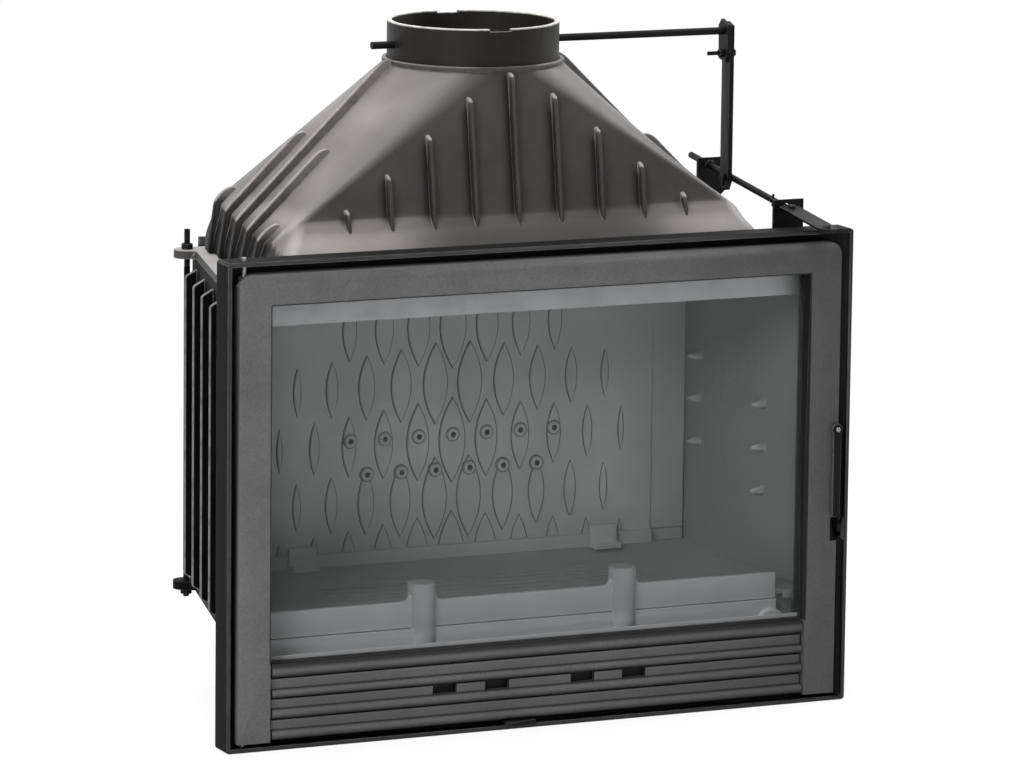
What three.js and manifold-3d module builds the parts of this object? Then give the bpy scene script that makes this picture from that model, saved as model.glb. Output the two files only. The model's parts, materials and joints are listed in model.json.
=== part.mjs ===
// Cast-iron wood-burning fireplace insert, in millimetres, +Z up.
// The model is built from the middle of the front frame's bottom edge: +X to the right,
// +Y into the fireplace. The whole group is then moved so that its origin lies under the ash box.
import * as THREE from "three";
import { mergeVertices } from "three/addons/utils/BufferGeometryUtils.js";
import Module from "manifold-3d";

// Fits shared by all pieces
const seat = 0.3; // gap between two faces that touch
const cutOverrun = 3; // how far a cutter runs past the face that it cuts
const holePlay = 0.6; // how much wider a hole is than what passes through it

// Front frame
const frameWidth = 800;
const frameHeight = 572;
const frameDepth = 34;
const frameRim = 5;
const frameCorner = 4;
const frameWeb = 7;
const mouthSideCover = 42; // frame seen beside the firebox mouth, inside the outer edge
const mouthTopCover = 37;
const mouthSill = 89;
const mouthShelfThick = 5; // shelf behind the sill that closes the space under the guard's ends
const ashMouthHalf = 245;
const ashMouthSill = 30;

// Firebox body: two tapering side plates between a base plate and a top plate
const bodyInset = 17.5; // side plate's outer face at the front, in from the frame's edge
const bodyNarrowing = 86; // how much nearer the middle a side plate ends at the rear
const bodyDepth = 338; // from the back of the frame to the back of the rear plate
const wallThick = 6;
const baseUnderside = 122;
const plateThick = 10;
const topPlateDrop = 38; // top plate's upper face below the frame's top
const rearPlateRise = 11; // how far the rear plate stands above the top plate
const earRadius = 16;
const earOut = 9; // tie rod axis outside the side plate's outer face
const earInset = 21; // tie rod axis in front of the body's back

// Outer fins of the side plates and ribs of the rear plate
const finCount = 5;
const finRearPlace = 329;
const finFrontPlace = 40.2;
const finThick = 5;
const finOut = 15;
const finChamfer = 8;
const finTopDrop = 29; // below the top plate's upper face
const finBottom = 144;
const rearRibCount = 5;
const rearRibInset = 68.5; // outermost ribs, in from the plate's edges
const rearRibThick = 6;
const rearRibOut = 9;

// Pegs on the inner faces of the side plates, and the plain lugs under the baffle
const pegRootRadius = 6.5;
const pegTipRadius = 2;
const pegLength = 15;
const pegRearPlace = 250;
const pegFrontPlace = 133;
const pegPitch = 53;
const pegRearLow = 278;
const pegFrontLow = 235;
const pegRows = 3;
const lugLength = 22;
const lugWidth = 26;
const lugHeight = 10;
const lugPlace = 128;

// Tie rods
const tieRodDiameter = 8;
const tieRodAbove = 24; // above the top plate
const tieRodBelow = 10; // below the base plate
const tieNutWidth = 13;
const tieNutHeight = 6.5;

// Hood
const hoodFrontBase = 44;
const hoodRearBase = 358;
const hoodSideRoom = 41.7; // side plate's outer face outside the shoulder, beside the flue axis
const hoodTaperShare = 0.0985;
const hoodWall = 6;
const hoodFrontInset = 44; // how far the shoulder lies behind the base edge
const hoodSideInset = 10;
const hoodRearInset = 10;
const hoodSideRise = 49; // side shoulder above the top plate, beside the flue axis
const hoodShoulderRiseShare = 0.123; // rise of the side shoulder towards the rear
const hoodFrontRise = 68;
const hoodRise = 234;
const hoodBaseCorner = 22;
const hoodShoulderCorner = 42;
const hoodLipRadius = 109;
const hoodLipHeight = 9;
const hoodThroatRadius = 96;
const flareHeightShares = [0, 0.3, 0.53, 0.76, 1];
const flareInsetShares = [0, 0.05, 0.36, 0.73, 1];
const cornerSteps = 6;
const throatFlatShare = 0.1; // share of a quarter turn that each flat panel takes at the throat

// Fins and ribs of the hood
const hoodFinCount = 5;
const hoodFinPitch = 44; // the middle fin stands beside the flue axis
const hoodFinOut = 9;
const hoodFinRise = 5.6; // fin corner above the skin's shoulder
const hoodFinThick = 5;
const hoodFinRoot = 20; // how far a fin reaches in behind its corner
const hoodFinSlopeShare = 1.035; // sideways run for each unit of rise
const hoodFinNose = 15; // length of the rounded top end
const hoodFinTopShares = [0.06, 0.48, 0.985, 0.46, 0.063]; // from the rear fin to the front fin
const hoodRibPitch = 54.2;
const hoodRibThick = 5;
const hoodRibOut = 10;
const hoodRibStart = 48; // above the top plate
const hoodRibNose = 9;
const hoodRibTopShares = [0.17, 0.38, 0.62, 0.85, 1]; // from the outer rib to the middle rib
const hoodRibReach = 180; // height of the middle rib

// Flue collar
const flueCentre = 218;
const flueOuterRadius = 102.4;
const flueWall = 5.4;
const collarHeight = 52;
const collarSink = 8; // shoulder that the collar stands on, below the hood's rim
const flueNotchWidth = 26;
const flueNotchDepth = 3;
const flueNotchTurn = 5.5; // degrees round from the front
const flueSegments = 48;

// Damper in the collar
const shaftDiameter = 9;
const shaftDrop = 26; // shaft axis below the collar's rim
const shaftLeftReach = 131;
const armInset = 65; // near face of the damper arm, in from the frame's edge
const armThick = 6;
const armWidth = 21;
const armRise = 11; // above the shaft axis
const armTail = 14.6; // below the rod's axis
const armSlotAbove = 4.4; // slot ends, measured from the rod's axis
const armSlotBelow = 11.1;
const armSlotWidth = 7.6;
const flapRadius = 92;
const flapThick = 4;
const flapOverlap = 9;
const flapTilt = 25; // degrees below level, behind the shaft
const flapScrewPlace = 55;
const screwShank = 4;
const screwHead = 9;
const screwHeadHeight = 3;
const clampWidth = 25;
const clampThick = 4;
const clampRise = 14;
const clampDrop = 38;
const clampBoltDrop = 27;
const clampBoltDiameter = 5;
const clampBoltReach = 20; // how far the bolt's free end stands out on the left
const clampNutWidth = 9;
const clampNutHeight = 5;

// Control rod and its pull handle
const rodDiameter = 8;
const rodClearance = 0.7; // between the arm and the rod beside it
const rodFrontRise = 18; // rod axis above the frame's top, at the front bracket
const rodRearRise = 23.5; // rod axis at the rear bracket above that at the front one
const frontBracketPlace = 72; // from the front of the frame
const rearBracketPlace = 279;
const rodBehind = 52; // beyond the rear bracket
const rodAhead = 24; // in front of the front bracket
const crossPinDiameter = 6;
const crossPinHead = 10;
const crossPinHeadHeight = 3;
const stopPinDiameter = 3;
const stopPinLength = 15;
const pullStroke = 30; // travel before the stop pin meets the front bracket
const handleWidth = 24;
const handleThick = 3;
const handleLength = 118;
const handleScrewPlace = 16; // in front of the bracket
const handleGap = 2; // between the front bracket and the handle
const buttonDiameter = 11;
const buttonHeight = 3;

// Brackets that carry the rod
const bracketWidth = 40;
const bracketShift = 3; // middle of the bracket beyond the rod
const bracketThick = 3;
const bracketRise = 9.5; // plate above the rod axis
const bracketFootDepth = 24;
const bracketFootWidth = 17;
const bracketFootGap = 2.5; // beside the hood's base
const bracketShoulder = 50; // height above the top plate where the wide part ends
const bracketBoltWidth = 10;
const bracketBoltHeight = 4;

// Fireback and its clips
const firebackFront = 268;
const firebackThick = 10;
const firebackPlay = 2.4; // beside the fireback, at its rear face
const firebackDrop = 36.3; // below the top plate
const hearthTop = 153;
const reliefDepth = 2.5;
const reliefPitch = 45;
const reliefRowPitch = 70;
const reliefHalfWidth = 17;
const reliefHalfHeight = 52;
const reliefColumns = 11;
const reliefRows = 5;
const reliefMiddle = 297; // height of the middle of the pattern
const reliefNarrowShare = 0.8; // how much narrower the outermost ovals are
const reliefShortShare = 0.5; // how much shorter
const firebackStepPlace = 267; // half width of the raised middle of the fireback
const firebackStep = 2;
const airHoleDiameter = 7;
const airBossDiameter = 17;
const airBossHeight = 4;
const airUpperCount = 7;
const airLowerCount = 6;
const airUpperHeight = 304;
const airLowerHeight = 262;
const airPitch = 44.7;
const clipWidth = 34;
const clipHeight = 27;
const clipThick = 6;
const clipPlace = 199;
const clipFoot = 20;
const plinthHeight = 16;

// Baffle plate over the fire
const baffleFront = 104;
const baffleThick = 8;
const bafflePlay = 4;

// Hearth floor, grate, ash box and ash pan
const hearthLow = 140; // height of the flat part round the grate
const hearthSlopeRear = 262;
const grateHalf = 213;
const grateFront = 97;
const grateRear = 215;
const grateLedge = 9;
const grateRows = 5;
const grateColumns = 4;
const grateSlotShare = 0.4; // slot width as a share of the row pitch
const grateRibWidth = 12;
const hearthFront = 92;
const ashHoleHalf = 204;
const ashBoxHalf = 262;
const ashBoxWall = 4;
const ashBoxRear = 290;
const panHalf = 238;
const panHeight = 50;
const panWall = 2;
const panFrontGap = 14;
const panRearGap = 12;
const panGripWidth = 120;
const panGripOut = 8;
const panGripHeight = 12;

// Log guard behind the glass
const guardFront = 50;
const guardInset = 26; // in from the side of the mouth
const guardTop = 150;
const guardStep = 118;
const guardUpperThick = 8;
const guardLowerThick = 11;
const guardHeel = 14; // depth of the heel that rests on the base plate
const guardHeelHeight = 9;
const guardPostDiameter = 33;
const guardPostStand = 7.5; // how far a post stands out in front of the bar
const guardPostTop = 172;
const guardPostPlace = 130;
const guardKnobDiameter = 36;
const guardKnobInset = 9; // in from the guard's end
const guardKnobHeight = 90;
const guardSideRoom = 12; // mouth beside the guard's end
const guardKnobOut = 7;

// Air-wash channel above the glass
const channelFront = 38;
const channelThick = 2;
const channelHeight = 34; // below the top plate
const channelDepth = 32;
const channelSideGap = 2; // from the side of the mouth

// Door
const doorGap = 10; // beside and above the door, inside the frame's rim
const doorSill = 9.5;
const doorThick = 20;
const doorCorner = 15;
const stileWidth = 40;
const headWidth = 37;
const lowerRailTop = 102;
const grilleBottom = 11;
const grilleDepth = 12.4; // room in front of the rail's web
const windowRecess = 2.6; // room for the air shutter
const webWindowHalf = 160;
const webWindowLow = 45;
const webWindowHigh = 63;
const edgeRadius = 3;
const gasketDiameter = 9.8;
const gasketInset = 14; // centre line of the rope seal, in from the door's edge
const gasketGroove = 3.2;
const gasketSides = 8;
const glassThick = 4;
const glassLap = 10;
const retainerWidth = 13;
const retainerThick = 1.8;
const retainerScrew = 6;
const retainerScrewHeight = 2.2;

// Door hinge pins
const hingeInset = 23.5; // from the frame's left edge
const hingePinDiameter = 6;
const hingePinDepth = 16; // in the door
const hingePinStand = 5; // above the frame

// Lower grille: rounded bars and flat bands
const grilleSideGap = 3;
const grilleTop = 101;
const barTopShares = [1, 0.667, 0.411, 0.133]; // tops of the rounded bars, over the grille's height
const barFootShares = [0.817, 0.55, 0.278, 0];
const bandRecess = 6;
const grooveRecess = 9;
const grooveHeight = 1.8;
const barSteps = 5;
const slotWidth = 31;
const slotInner = 55.3; // middles of the slots
const slotOuter = 122.3;

// Air shutter
const shutterThick = 2;
const shutterHalf = 150;
const shutterMargin = 9; // plate above and below the slots
const shutterStroke = 34;
const shutterWindowMargin = 1;
const shutterTabWidth = 38;
const shutterTabPlace = 28; // left of the middle
const shutterTabOut = 3; // in front of the door
const shutterTabThick = 4;
const shutterTabHeight = 6.3; // underside above the floor

// Door latch
const latchInset = 3.5; // pivot in from the door's edge
const latchPivotHeight = 331;
const latchBarWidth = 10.5;
const latchBarThick = 5;
const latchBarDrop = 106;
const latchEyeRadius = 7;
const latchFaceGap = 0.8;
const latchNotchTop = 224;
const latchNotchBottom = 195;
const latchNotchDepth = 8.5;
const latchTongueWidth = 3.5;
const latchTongueReach = 2.2; // beyond the door's edge
const latchTongueDepth = 8;
const latchScrewHead = 6;
const latchScrewHeadHeight = 2;
const latchScrewShank = 5;
const keeperReach = 4.6;
const keeperDepth = 18;

// Steps on round shapes
const roundSteps = 20;
const smallSteps = 10;

// Places worked out from the sizes above
const frameHalf = frameWidth / 2;
const webFront = frameDepth - frameWeb;
const bodyFront = frameDepth + seat;
const bodyBack = frameDepth + bodyDepth;
const baseTop = baseUnderside + plateThick;
const topPlateTop = frameHeight - topPlateDrop;
const topUnderside = topPlateTop - plateThick;
const finTop = topPlateTop - finTopDrop;
const hoodSideShoulder = topPlateTop + hoodSideRise;
const hoodFrontShoulder = topPlateTop + hoodFrontRise;
const hoodTop = topPlateTop + hoodRise;
const hoodRibFoot = topPlateTop + hoodRibStart;
const flueSeat = hoodTop - collarSink;
const flueTop = flueSeat + collarHeight;
const firebackTop = topUnderside - firebackDrop;
const channelBottom = topUnderside - channelHeight;
const sideLow = baseTop + seat;
const sideHigh = topUnderside - seat;
const rearFace = bodyBack - wallThick; // front face of the rear plate
const bodyTaper = bodyNarrowing / bodyDepth;
const bodyFrontHalf = frameHalf - bodyInset;
const armPlace = frameHalf - armInset;
const mouthHalf = frameHalf - mouthSideCover;
const mouthTop = frameHeight - mouthTopCover;
const doorHalf = frameHalf - frameRim - doorGap;
const doorTop = frameHeight - frameRim - doorGap;
const openingHalf = doorHalf - stileWidth;
const openingTop = doorTop - headWidth;
const flueInnerRadius = flueOuterRadius - flueWall;
const armFar = armPlace + armThick;
const rodAcross = armFar + rodClearance + rodDiameter / 2;
const bracketMiddle = rodAcross + bracketShift;
const rodRun = rearBracketPlace - frontBracketPlace;
const rodFrontHole = frameHeight + rodFrontRise;
const rodPitch = Math.atan2(rodRearRise, rodRun);
const rodHeightAt = (y) => rodFrontHole + (y - frontBracketPlace) * Math.tan(rodPitch);
const shaftHeight = flueTop - shaftDrop;
const latchPlace = doorHalf - latchInset;
const bodyHalfAt = (y) => bodyFrontHalf - (y - frameDepth) * bodyTaper;
const hoodSideAtFlue = bodyHalfAt(flueCentre) - hoodSideRoom;
const hoodHalfAt = (y) => hoodSideAtFlue + (flueCentre - y) * hoodTaperShare;
const firebackHalf = bodyHalfAt(firebackFront + firebackThick) - wallThick - firebackPlay;
const guardHalf = mouthHalf - guardInset;
const guardKnobPlace = guardHalf - guardKnobInset;
const finPitch = (finRearPlace - finFrontPlace) / (finCount - 1);
const finPlaces = Array.from({ length: finCount }, (_, i) => finRearPlace - i * finPitch);
const guardBack = guardFront + guardLowerThick + seat; // where the base plate and the ash box begin

// Materials
const castBlack = new THREE.MeshStandardMaterial({ color: 0x1d1d1e, roughness: 0.72, metalness: 0.35 });
const castGrey = new THREE.MeshStandardMaterial({ color: 0x4a4b4c, roughness: 0.68, metalness: 0.3 });
const castInner = new THREE.MeshStandardMaterial({ color: 0x686c6b, roughness: 0.85, metalness: 0.15 });
const hoodPaint = new THREE.MeshStandardMaterial({ color: 0x77716d, roughness: 0.7, metalness: 0.2 });
const collarBlack = new THREE.MeshStandardMaterial({ color: 0x2b2826, roughness: 0.6, metalness: 0.3 });
const steelBlack = new THREE.MeshStandardMaterial({ color: 0x19191a, roughness: 0.5, metalness: 0.6 });
const steelBright = new THREE.MeshStandardMaterial({ color: 0xb4b6b8, roughness: 0.35, metalness: 0.9 });
const sheetSteel = new THREE.MeshStandardMaterial({ color: 0x8b8d91, roughness: 0.45, metalness: 0.6 });
const ropeSeal = new THREE.MeshStandardMaterial({ color: 0x3a3937, roughness: 0.95, metalness: 0 });
const clearGlass = new THREE.MeshStandardMaterial({
  color: 0xd8dedd, roughness: 0.05, metalness: 0, transparent: true, opacity: 0.25,
});

const wasm = await Module();
wasm.setup();

const insert = new THREE.Group();
insert.position.y = -(frameDepth + ashBoxRear) / 2;

// A closed geometry becomes a solid once its shared corners are merged
function solidOf(geometry) {
  const bare = geometry.clone();
  bare.deleteAttribute("normal");
  bare.deleteAttribute("uv");
  const welded = mergeVertices(bare);
  return new wasm.Manifold(new wasm.Mesh({
    numProp: 3,
    vertProperties: new Float32Array(welded.attributes.position.array),
    triVerts: new Uint32Array(welded.index.array),
  }));
}

// The solid's triangles as a geometry again
function geometryOf(solid) {
  const mesh = solid.getMesh();
  const geometry = new THREE.BufferGeometry();
  geometry.setAttribute("position", new THREE.BufferAttribute(new Float32Array(mesh.vertProperties), mesh.numProp));
  geometry.setIndex(new THREE.BufferAttribute(new Uint32Array(mesh.triVerts), 1));
  geometry.computeVertexNormals();
  return geometry;
}

const joined = (parts) => parts.map(solidOf).reduce((sum, part) => sum.add(part));
const cut = (body, cutters) => geometryOf(body.subtract(joined(cutters)));

function addMesh(name, geometry, material) {
  const mesh = new THREE.Mesh(geometry, material);
  mesh.name = name;
  insert.add(mesh);
  return mesh;
}

function box(x0, x1, y0, y1, z0, z1) {
  const geometry = new THREE.BoxGeometry(x1 - x0, y1 - y0, z1 - z0);
  return geometry.translate((x0 + x1) / 2, (y0 + y1) / 2, (z0 + z1) / 2);
}

// A flat outline pushed along one axis. Points are (x, y) for axis z, (x, z) for y, (y, z) for x
function prism(axis, points, low, high) {
  const shape = new THREE.Shape(points.map(([a, b]) => new THREE.Vector2(a, b)));
  const geometry = new THREE.ExtrudeGeometry(shape, { depth: high - low, bevelEnabled: false });
  const east = new THREE.Vector3(1, 0, 0);
  const north = new THREE.Vector3(0, 1, 0);
  const up = new THREE.Vector3(0, 0, 1);
  if (axis === "z") {
    return geometry.translate(0, 0, low);
  }
  if (axis === "x") {
    geometry.applyMatrix4(new THREE.Matrix4().makeBasis(north, up, east));
    return geometry.translate(low, 0, 0);
  }
  geometry.applyMatrix4(new THREE.Matrix4().makeBasis(east, up, north.negate()));
  return geometry.translate(0, high, 0);
}

// A round bar along one axis; the two places are its middle on the other two axes
function bar(axis, first, second, radius, low, high, steps = smallSteps) {
  const geometry = new THREE.CylinderGeometry(radius, radius, high - low, steps);
  const middle = (low + high) / 2;
  if (axis === "x") {
    return geometry.rotateZ(Math.PI / 2).translate(middle, first, second);
  }
  if (axis === "y") {
    return geometry.translate(first, middle, second);
  }
  return geometry.rotateX(Math.PI / 2).translate(first, second, middle);
}

// A rectangle with rounded corners; radii go round from the low-low corner, anticlockwise
function roundedRectangle(a0, a1, b0, b1, radii, steps = 4) {
  const corners = [[a0, b0, 1, 1], [a1, b0, -1, 1], [a1, b1, -1, -1], [a0, b1, 1, -1]];
  return corners.flatMap(([a, b, inA, inB], corner) => {
    const radius = radii[corner];
    if (radius === 0) {
      return [[a, b]];
    }
    return Array.from({ length: steps + 1 }, (_, i) => {
      const angle = Math.PI + (corner + i / steps) * (Math.PI / 2);
      return [a + inA * radius + radius * Math.cos(angle), b + inB * radius + radius * Math.sin(angle)];
    });
  });
}

// A closed skin through rings of equal count, capped at its first and last ring
function loft(rings) {
  const count = rings[0].length;
  const points = rings.flat();
  const index = [];
  for (let ring = 0; ring < rings.length - 1; ring += 1) {
    for (let i = 0; i < count; i += 1) {
      const a = ring * count + i;
      const b = ring * count + ((i + 1) % count);
      index.push(a, b, b + count, a, b + count, a + count);
    }
  }
  const last = (rings.length - 1) * count;
  for (let i = 1; i < count - 1; i += 1) {
    index.push(0, i + 1, i);
    index.push(last, last + i, last + i + 1);
  }
  const geometry = new THREE.BufferGeometry();
  geometry.setAttribute("position", new THREE.Float32BufferAttribute(points.flat(), 3));
  geometry.setIndex(index);
  return geometry;
}

// Front frame: rim, web behind the door, and the mouth through the web
function frontFrame() {
  const low = frameRim;
  const outer = roundedRectangle(
    -frameHalf, frameHalf, 0, frameHeight, [frameCorner, frameCorner, frameCorner, frameCorner],
  );
  const pocket = box(
    -frameHalf + frameRim, frameHalf - frameRim, -cutOverrun, webFront, low, frameHeight - frameRim,
  );
  const back = frameDepth + cutOverrun;
  const mouth = box(-mouthHalf, mouthHalf, webFront - cutOverrun, back, baseUnderside, mouthTop);
  const guardMouthHalf = guardHalf + guardSideRoom;
  const guardMouth = box(-guardMouthHalf, guardMouthHalf, webFront - cutOverrun, back, mouthSill, baseTop);
  const ashMouth = box(-ashMouthHalf, ashMouthHalf, webFront - cutOverrun, back, ashMouthSill, mouthSill + cutOverrun);
  const pinHoles = hingePinSpans().map(([from, to]) => (
    bar("z", hingeAxis.x, hingeAxis.y, (hingePinDiameter + holePlay) / 2, from - cutOverrun, to + cutOverrun)
  ));
  return cut(solidOf(prism("y", outer, 0, frameDepth)), [pocket, mouth, guardMouth, ashMouth, ...pinHoles]);
}

const hingeAxis = { x: -frameHalf + hingeInset, y: doorThick / 2 };

// The lower pin stays clear of the floor, the upper pin stands above the frame
function hingePinSpans() {
  return [
    [seat, doorSill + hingePinDepth],
    [doorTop - hingePinDepth, frameHeight + hingePinStand],
  ];
}

// Outline of a body plate with an ear for the tie rod at each rear corner
function bodyPlateSolid(low, high) {
  const rear = rearFace - seat;
  const outline = [
    [-bodyHalfAt(bodyFront), bodyFront], [bodyHalfAt(bodyFront), bodyFront],
    [bodyHalfAt(rear), rear], [-bodyHalfAt(rear), rear],
  ];
  const parts = [prism("z", outline, low, high)];
  for (const side of [-1, 1]) {
    const { x, y } = tieRodAt(side);
    parts.push(bar("z", x, y, earRadius, low, high, roundSteps));
    const front = y - earRadius * 3;
    const web = [
      [side * (bodyHalfAt(front) - wallThick), front], [side * bodyHalfAt(front), front],
      [side * (bodyHalfAt(y) + earOut * 0.45), y - earRadius * 1.25],
      [x + side * earRadius * 0.82, y - earRadius * 0.55], [x, y + earRadius * 0.4],
      [side * (bodyHalfAt(y) - wallThick), rear],
    ];
    parts.push(prism("z", side > 0 ? web : web.reverse(), low, high));
  }
  const rearTrim = box(-frameHalf, frameHalf, rearFace - seat, bodyBack + frameDepth, low, high);
  const kept = cut(joined(parts), [rearTrimBetweenEars(rearTrim, low, high)]);
  const rodHoles = [-1, 1].map((side) => {
    const { x, y } = tieRodAt(side);
    return bar("z", x, y, (tieRodDiameter + holePlay) / 2, low - cutOverrun, high + cutOverrun);
  });
  return solidOf(cut(solidOf(kept), rodHoles));
}

// The rear plate's own place is kept free between the two ears
function rearTrimBetweenEars(trim, low, high) {
  const half = rearPlateHalf + seat;
  return geometryOf(solidOf(trim).intersect(solidOf(
    box(-half, half, rearFace - cutOverrun, bodyBack + frameDepth, low - cutOverrun, high + cutOverrun),
  )));
}

function tieRodAt(side) {
  const y = bodyBack - earInset;
  return { x: side * (bodyHalfAt(y) + earOut), y };
}

const rearPlateHalf = bodyHalfAt(bodyBack) - earRadius * 0.5;

function basePlate() {
  const hole = box(
    -ashHoleHalf, ashHoleHalf, grateFront + grateLedge, grateRear - grateLedge,
    baseUnderside - cutOverrun, baseTop + cutOverrun,
  );
  const low = baseUnderside - cutOverrun;
  const high = baseTop + cutOverrun;
  const guardRoom = box(-guardHalf - seat, guardHalf + seat, 0, guardBack, low, high);
  // At each end a lip that closes the space beside the guard, down to the sill of the mouth, a
  // shelf under the guard's end, and a cheek at the shelf's outer end
  const lips = [-1, 1].flatMap((side) => {
    const inner = guardHalf + seat;
    const outer = bodyHalfAt(guardBack) - seat;
    const front = bodyFront + seat;
    const shelfEnd = ashBoxHalf + seat;
    const cheek = outer - mouthShelfThick;
    const under = mouthSill - mouthShelfThick;
    const overlap = baseTop - plateThick / 2;
    return [
      box(side > 0 ? inner : -outer, side > 0 ? outer : -inner, guardBack - wallThick * 0.7, guardBack, under, overlap),
      box(side > 0 ? shelfEnd : -outer, side > 0 ? outer : -shelfEnd, front, guardBack, under, mouthSill),
      box(side > 0 ? cheek : -outer, side > 0 ? outer : -cheek, front, guardBack, under, overlap),
    ];
  });
  const lipped = joined([cut(bodyPlateSolid(baseUnderside, baseTop), [hole, guardRoom]), ...lips]);
  return geometryOf(lipped);
}

function topPlate() {
  const margin = hoodWall * 2;
  const frontY = hoodFrontBase + margin;
  const rearY = hoodRearBase - margin;
  const passage = [
    [-hoodHalfAt(frontY) + margin, frontY], [hoodHalfAt(frontY) - margin, frontY],
    [hoodHalfAt(rearY) - margin, rearY], [-hoodHalfAt(rearY) + margin, rearY],
  ];
  return cut(bodyPlateSolid(topUnderside, topPlateTop), [
    prism("z", passage, topUnderside - cutOverrun, topPlateTop + cutOverrun),
  ]);
}

// A side plate with its outer fins, its inner pegs and the lug under the baffle
function sidePlate(side) {
  const wallBack = rearFace - seat;
  const plan = [
    [bodyHalfAt(bodyFront) - wallThick, bodyFront], [bodyHalfAt(bodyFront), bodyFront],
    [bodyHalfAt(wallBack), wallBack], [bodyHalfAt(wallBack) - wallThick, wallBack],
  ];
  const parts = [prism("z", plan, sideLow, sideHigh)];
  for (const place of finPlaces.filter((y) => y < wallBack)) {
    const root = bodyHalfAt(place) - wallThick / 2;
    const edge = bodyHalfAt(place) + finOut;
    const fin = [
      [root, finBottom - finChamfer], [bodyHalfAt(place), finBottom - finChamfer],
      [edge, finBottom], [edge, finTop],
      [bodyHalfAt(place), finTop + finChamfer], [root, finTop + finChamfer],
    ];
    parts.push(prism("y", fin, place - finThick / 2, Math.min(place + finThick / 2, wallBack)));
  }
  const lugInner = bodyHalfAt(lugPlace) - wallThick - lugLength;
  parts.push(box(
    lugInner, bodyHalfAt(lugPlace) - wallThick / 2, lugPlace - lugWidth / 2, lugPlace + lugWidth / 2,
    baffleRest - lugHeight, baffleRest,
  ));
  for (const [place, low] of [[pegRearPlace, pegRearLow], [pegFrontPlace, pegFrontLow]]) {
    for (let row = 0; row < pegRows; row += 1) {
      const length = pegLength + wallThick / 2;
      const peg = new THREE.CylinderGeometry(pegTipRadius, pegRootRadius, length, smallSteps);
      const wall = bodyHalfAt(place) - wallThick / 2;
      parts.push(peg.rotateZ(Math.PI / 2).translate(wall - length / 2, place, low + row * pegPitch));
    }
  }
  const plate = geometryOf(joined(parts));
  return side > 0 ? plate : mirrored(plate);
}

// The same piece on the other side of the middle plane, with its faces still pointing out
function mirrored(geometry) {
  const copy = (geometry.index ? geometry.toNonIndexed() : geometry.clone());
  copy.deleteAttribute("normal");
  copy.scale(-1, 1, 1);
  const position = copy.attributes.position;
  for (let i = 0; i < position.count; i += 3) {
    const kept = new THREE.Vector3().fromBufferAttribute(position, i + 1);
    const swapped = new THREE.Vector3().fromBufferAttribute(position, i + 2);
    position.setXYZ(i + 1, swapped.x, swapped.y, swapped.z);
    position.setXYZ(i + 2, kept.x, kept.y, kept.z);
  }
  return copy;
}

function rearPlate() {
  const high = topPlateTop + rearPlateRise;
  const parts = [box(-rearPlateHalf, rearPlateHalf, rearFace, bodyBack, sideLow, high)];
  const pitch = (rearPlateHalf - rearRibInset) * 2 / (rearRibCount - 1);
  for (let i = 0; i < rearRibCount; i += 1) {
    const x = (i - (rearRibCount - 1) / 2) * pitch;
    const rib = [
      [bodyBack - wallThick / 2, finBottom], [bodyBack + rearRibOut, finBottom + finChamfer],
      [bodyBack + rearRibOut, finTop - finChamfer], [bodyBack - wallThick / 2, finTop],
    ];
    parts.push(prism("x", rib, x - rearRibThick / 2, x + rearRibThick / 2));
  }
  return geometryOf(joined(parts));
}

function tieRod(side) {
  const { x, y } = tieRodAt(side);
  return bar("z", x, y, tieRodDiameter / 2, baseUnderside - tieRodBelow, topPlateTop + tieRodAbove);
}

function hexNut(x, y, low, width, height, bore) {
  const nut = bar("z", x, y, width / Math.sqrt(3), low, low + height, 6);
  return cut(solidOf(nut), [bar("z", x, y, (bore + holePlay) / 2, low - cutOverrun, low + height + cutOverrun)]);
}

// The tie rod's nuts: one on the top plate, one under the base plate
function tieRodNut(side, low) {
  const { x, y } = tieRodAt(side);
  return hexNut(x, y, low, tieNutWidth, tieNutHeight, tieRodDiameter);
}

// Height of the hood's shoulder beside a place, and the share of it that the corners take
const sideShoulderAt = (y) => hoodSideShoulder + (y - flueCentre) * hoodShoulderRiseShare;

// One ring of the hood: a tapering outline with rounded corners. The shoulder's own height runs
// through each corner from the side's to the front's or the rear's
function hoodRing(frontY, rearY, sideInset, corner, heightFor) {
  const half = (y) => hoodHalfAt(y) - sideInset;
  const corners = [[-half(frontY), frontY], [half(frontY), frontY], [half(rearY), rearY], [-half(rearY), rearY]];
  const points = [];
  corners.forEach(([x, y], i) => {
    const here = new THREE.Vector2(x, y);
    const before = new THREE.Vector2(...corners[(i + 3) % 4]);
    const after = new THREE.Vector2(...corners[(i + 1) % 4]);
    const start = here.clone().add(before.sub(here).setLength(corner));
    const end = here.clone().add(after.sub(here).setLength(corner));
    const bend = new THREE.QuadraticBezierCurve(start, here, end);
    bend.getPoints(cornerSteps).forEach((point, step) => {
      const share = i % 2 === 0 ? step / cornerSteps : 1 - step / cornerSteps;
      const eased = THREE.MathUtils.smoothstep(share, 0, 1);
      const shoulder = THREE.MathUtils.lerp(sideShoulderAt(point.y), hoodFrontShoulder, eased);
      points.push([point.x, point.y, heightFor(shoulder)]);
    });
  });
  return points;
}

function throatRing(radius, height) {
  const points = [];
  for (let corner = 0; corner < 4; corner += 1) {
    for (let i = 0; i <= cornerSteps; i += 1) {
      const share = throatFlatShare + (1 - 2 * throatFlatShare) * (i / cornerSteps);
      const angle = Math.PI + (corner + share) * (Math.PI / 2);
      points.push([radius * Math.cos(angle), flueCentre + radius * Math.sin(angle), height]);
    }
  }
  return points;
}

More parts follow.
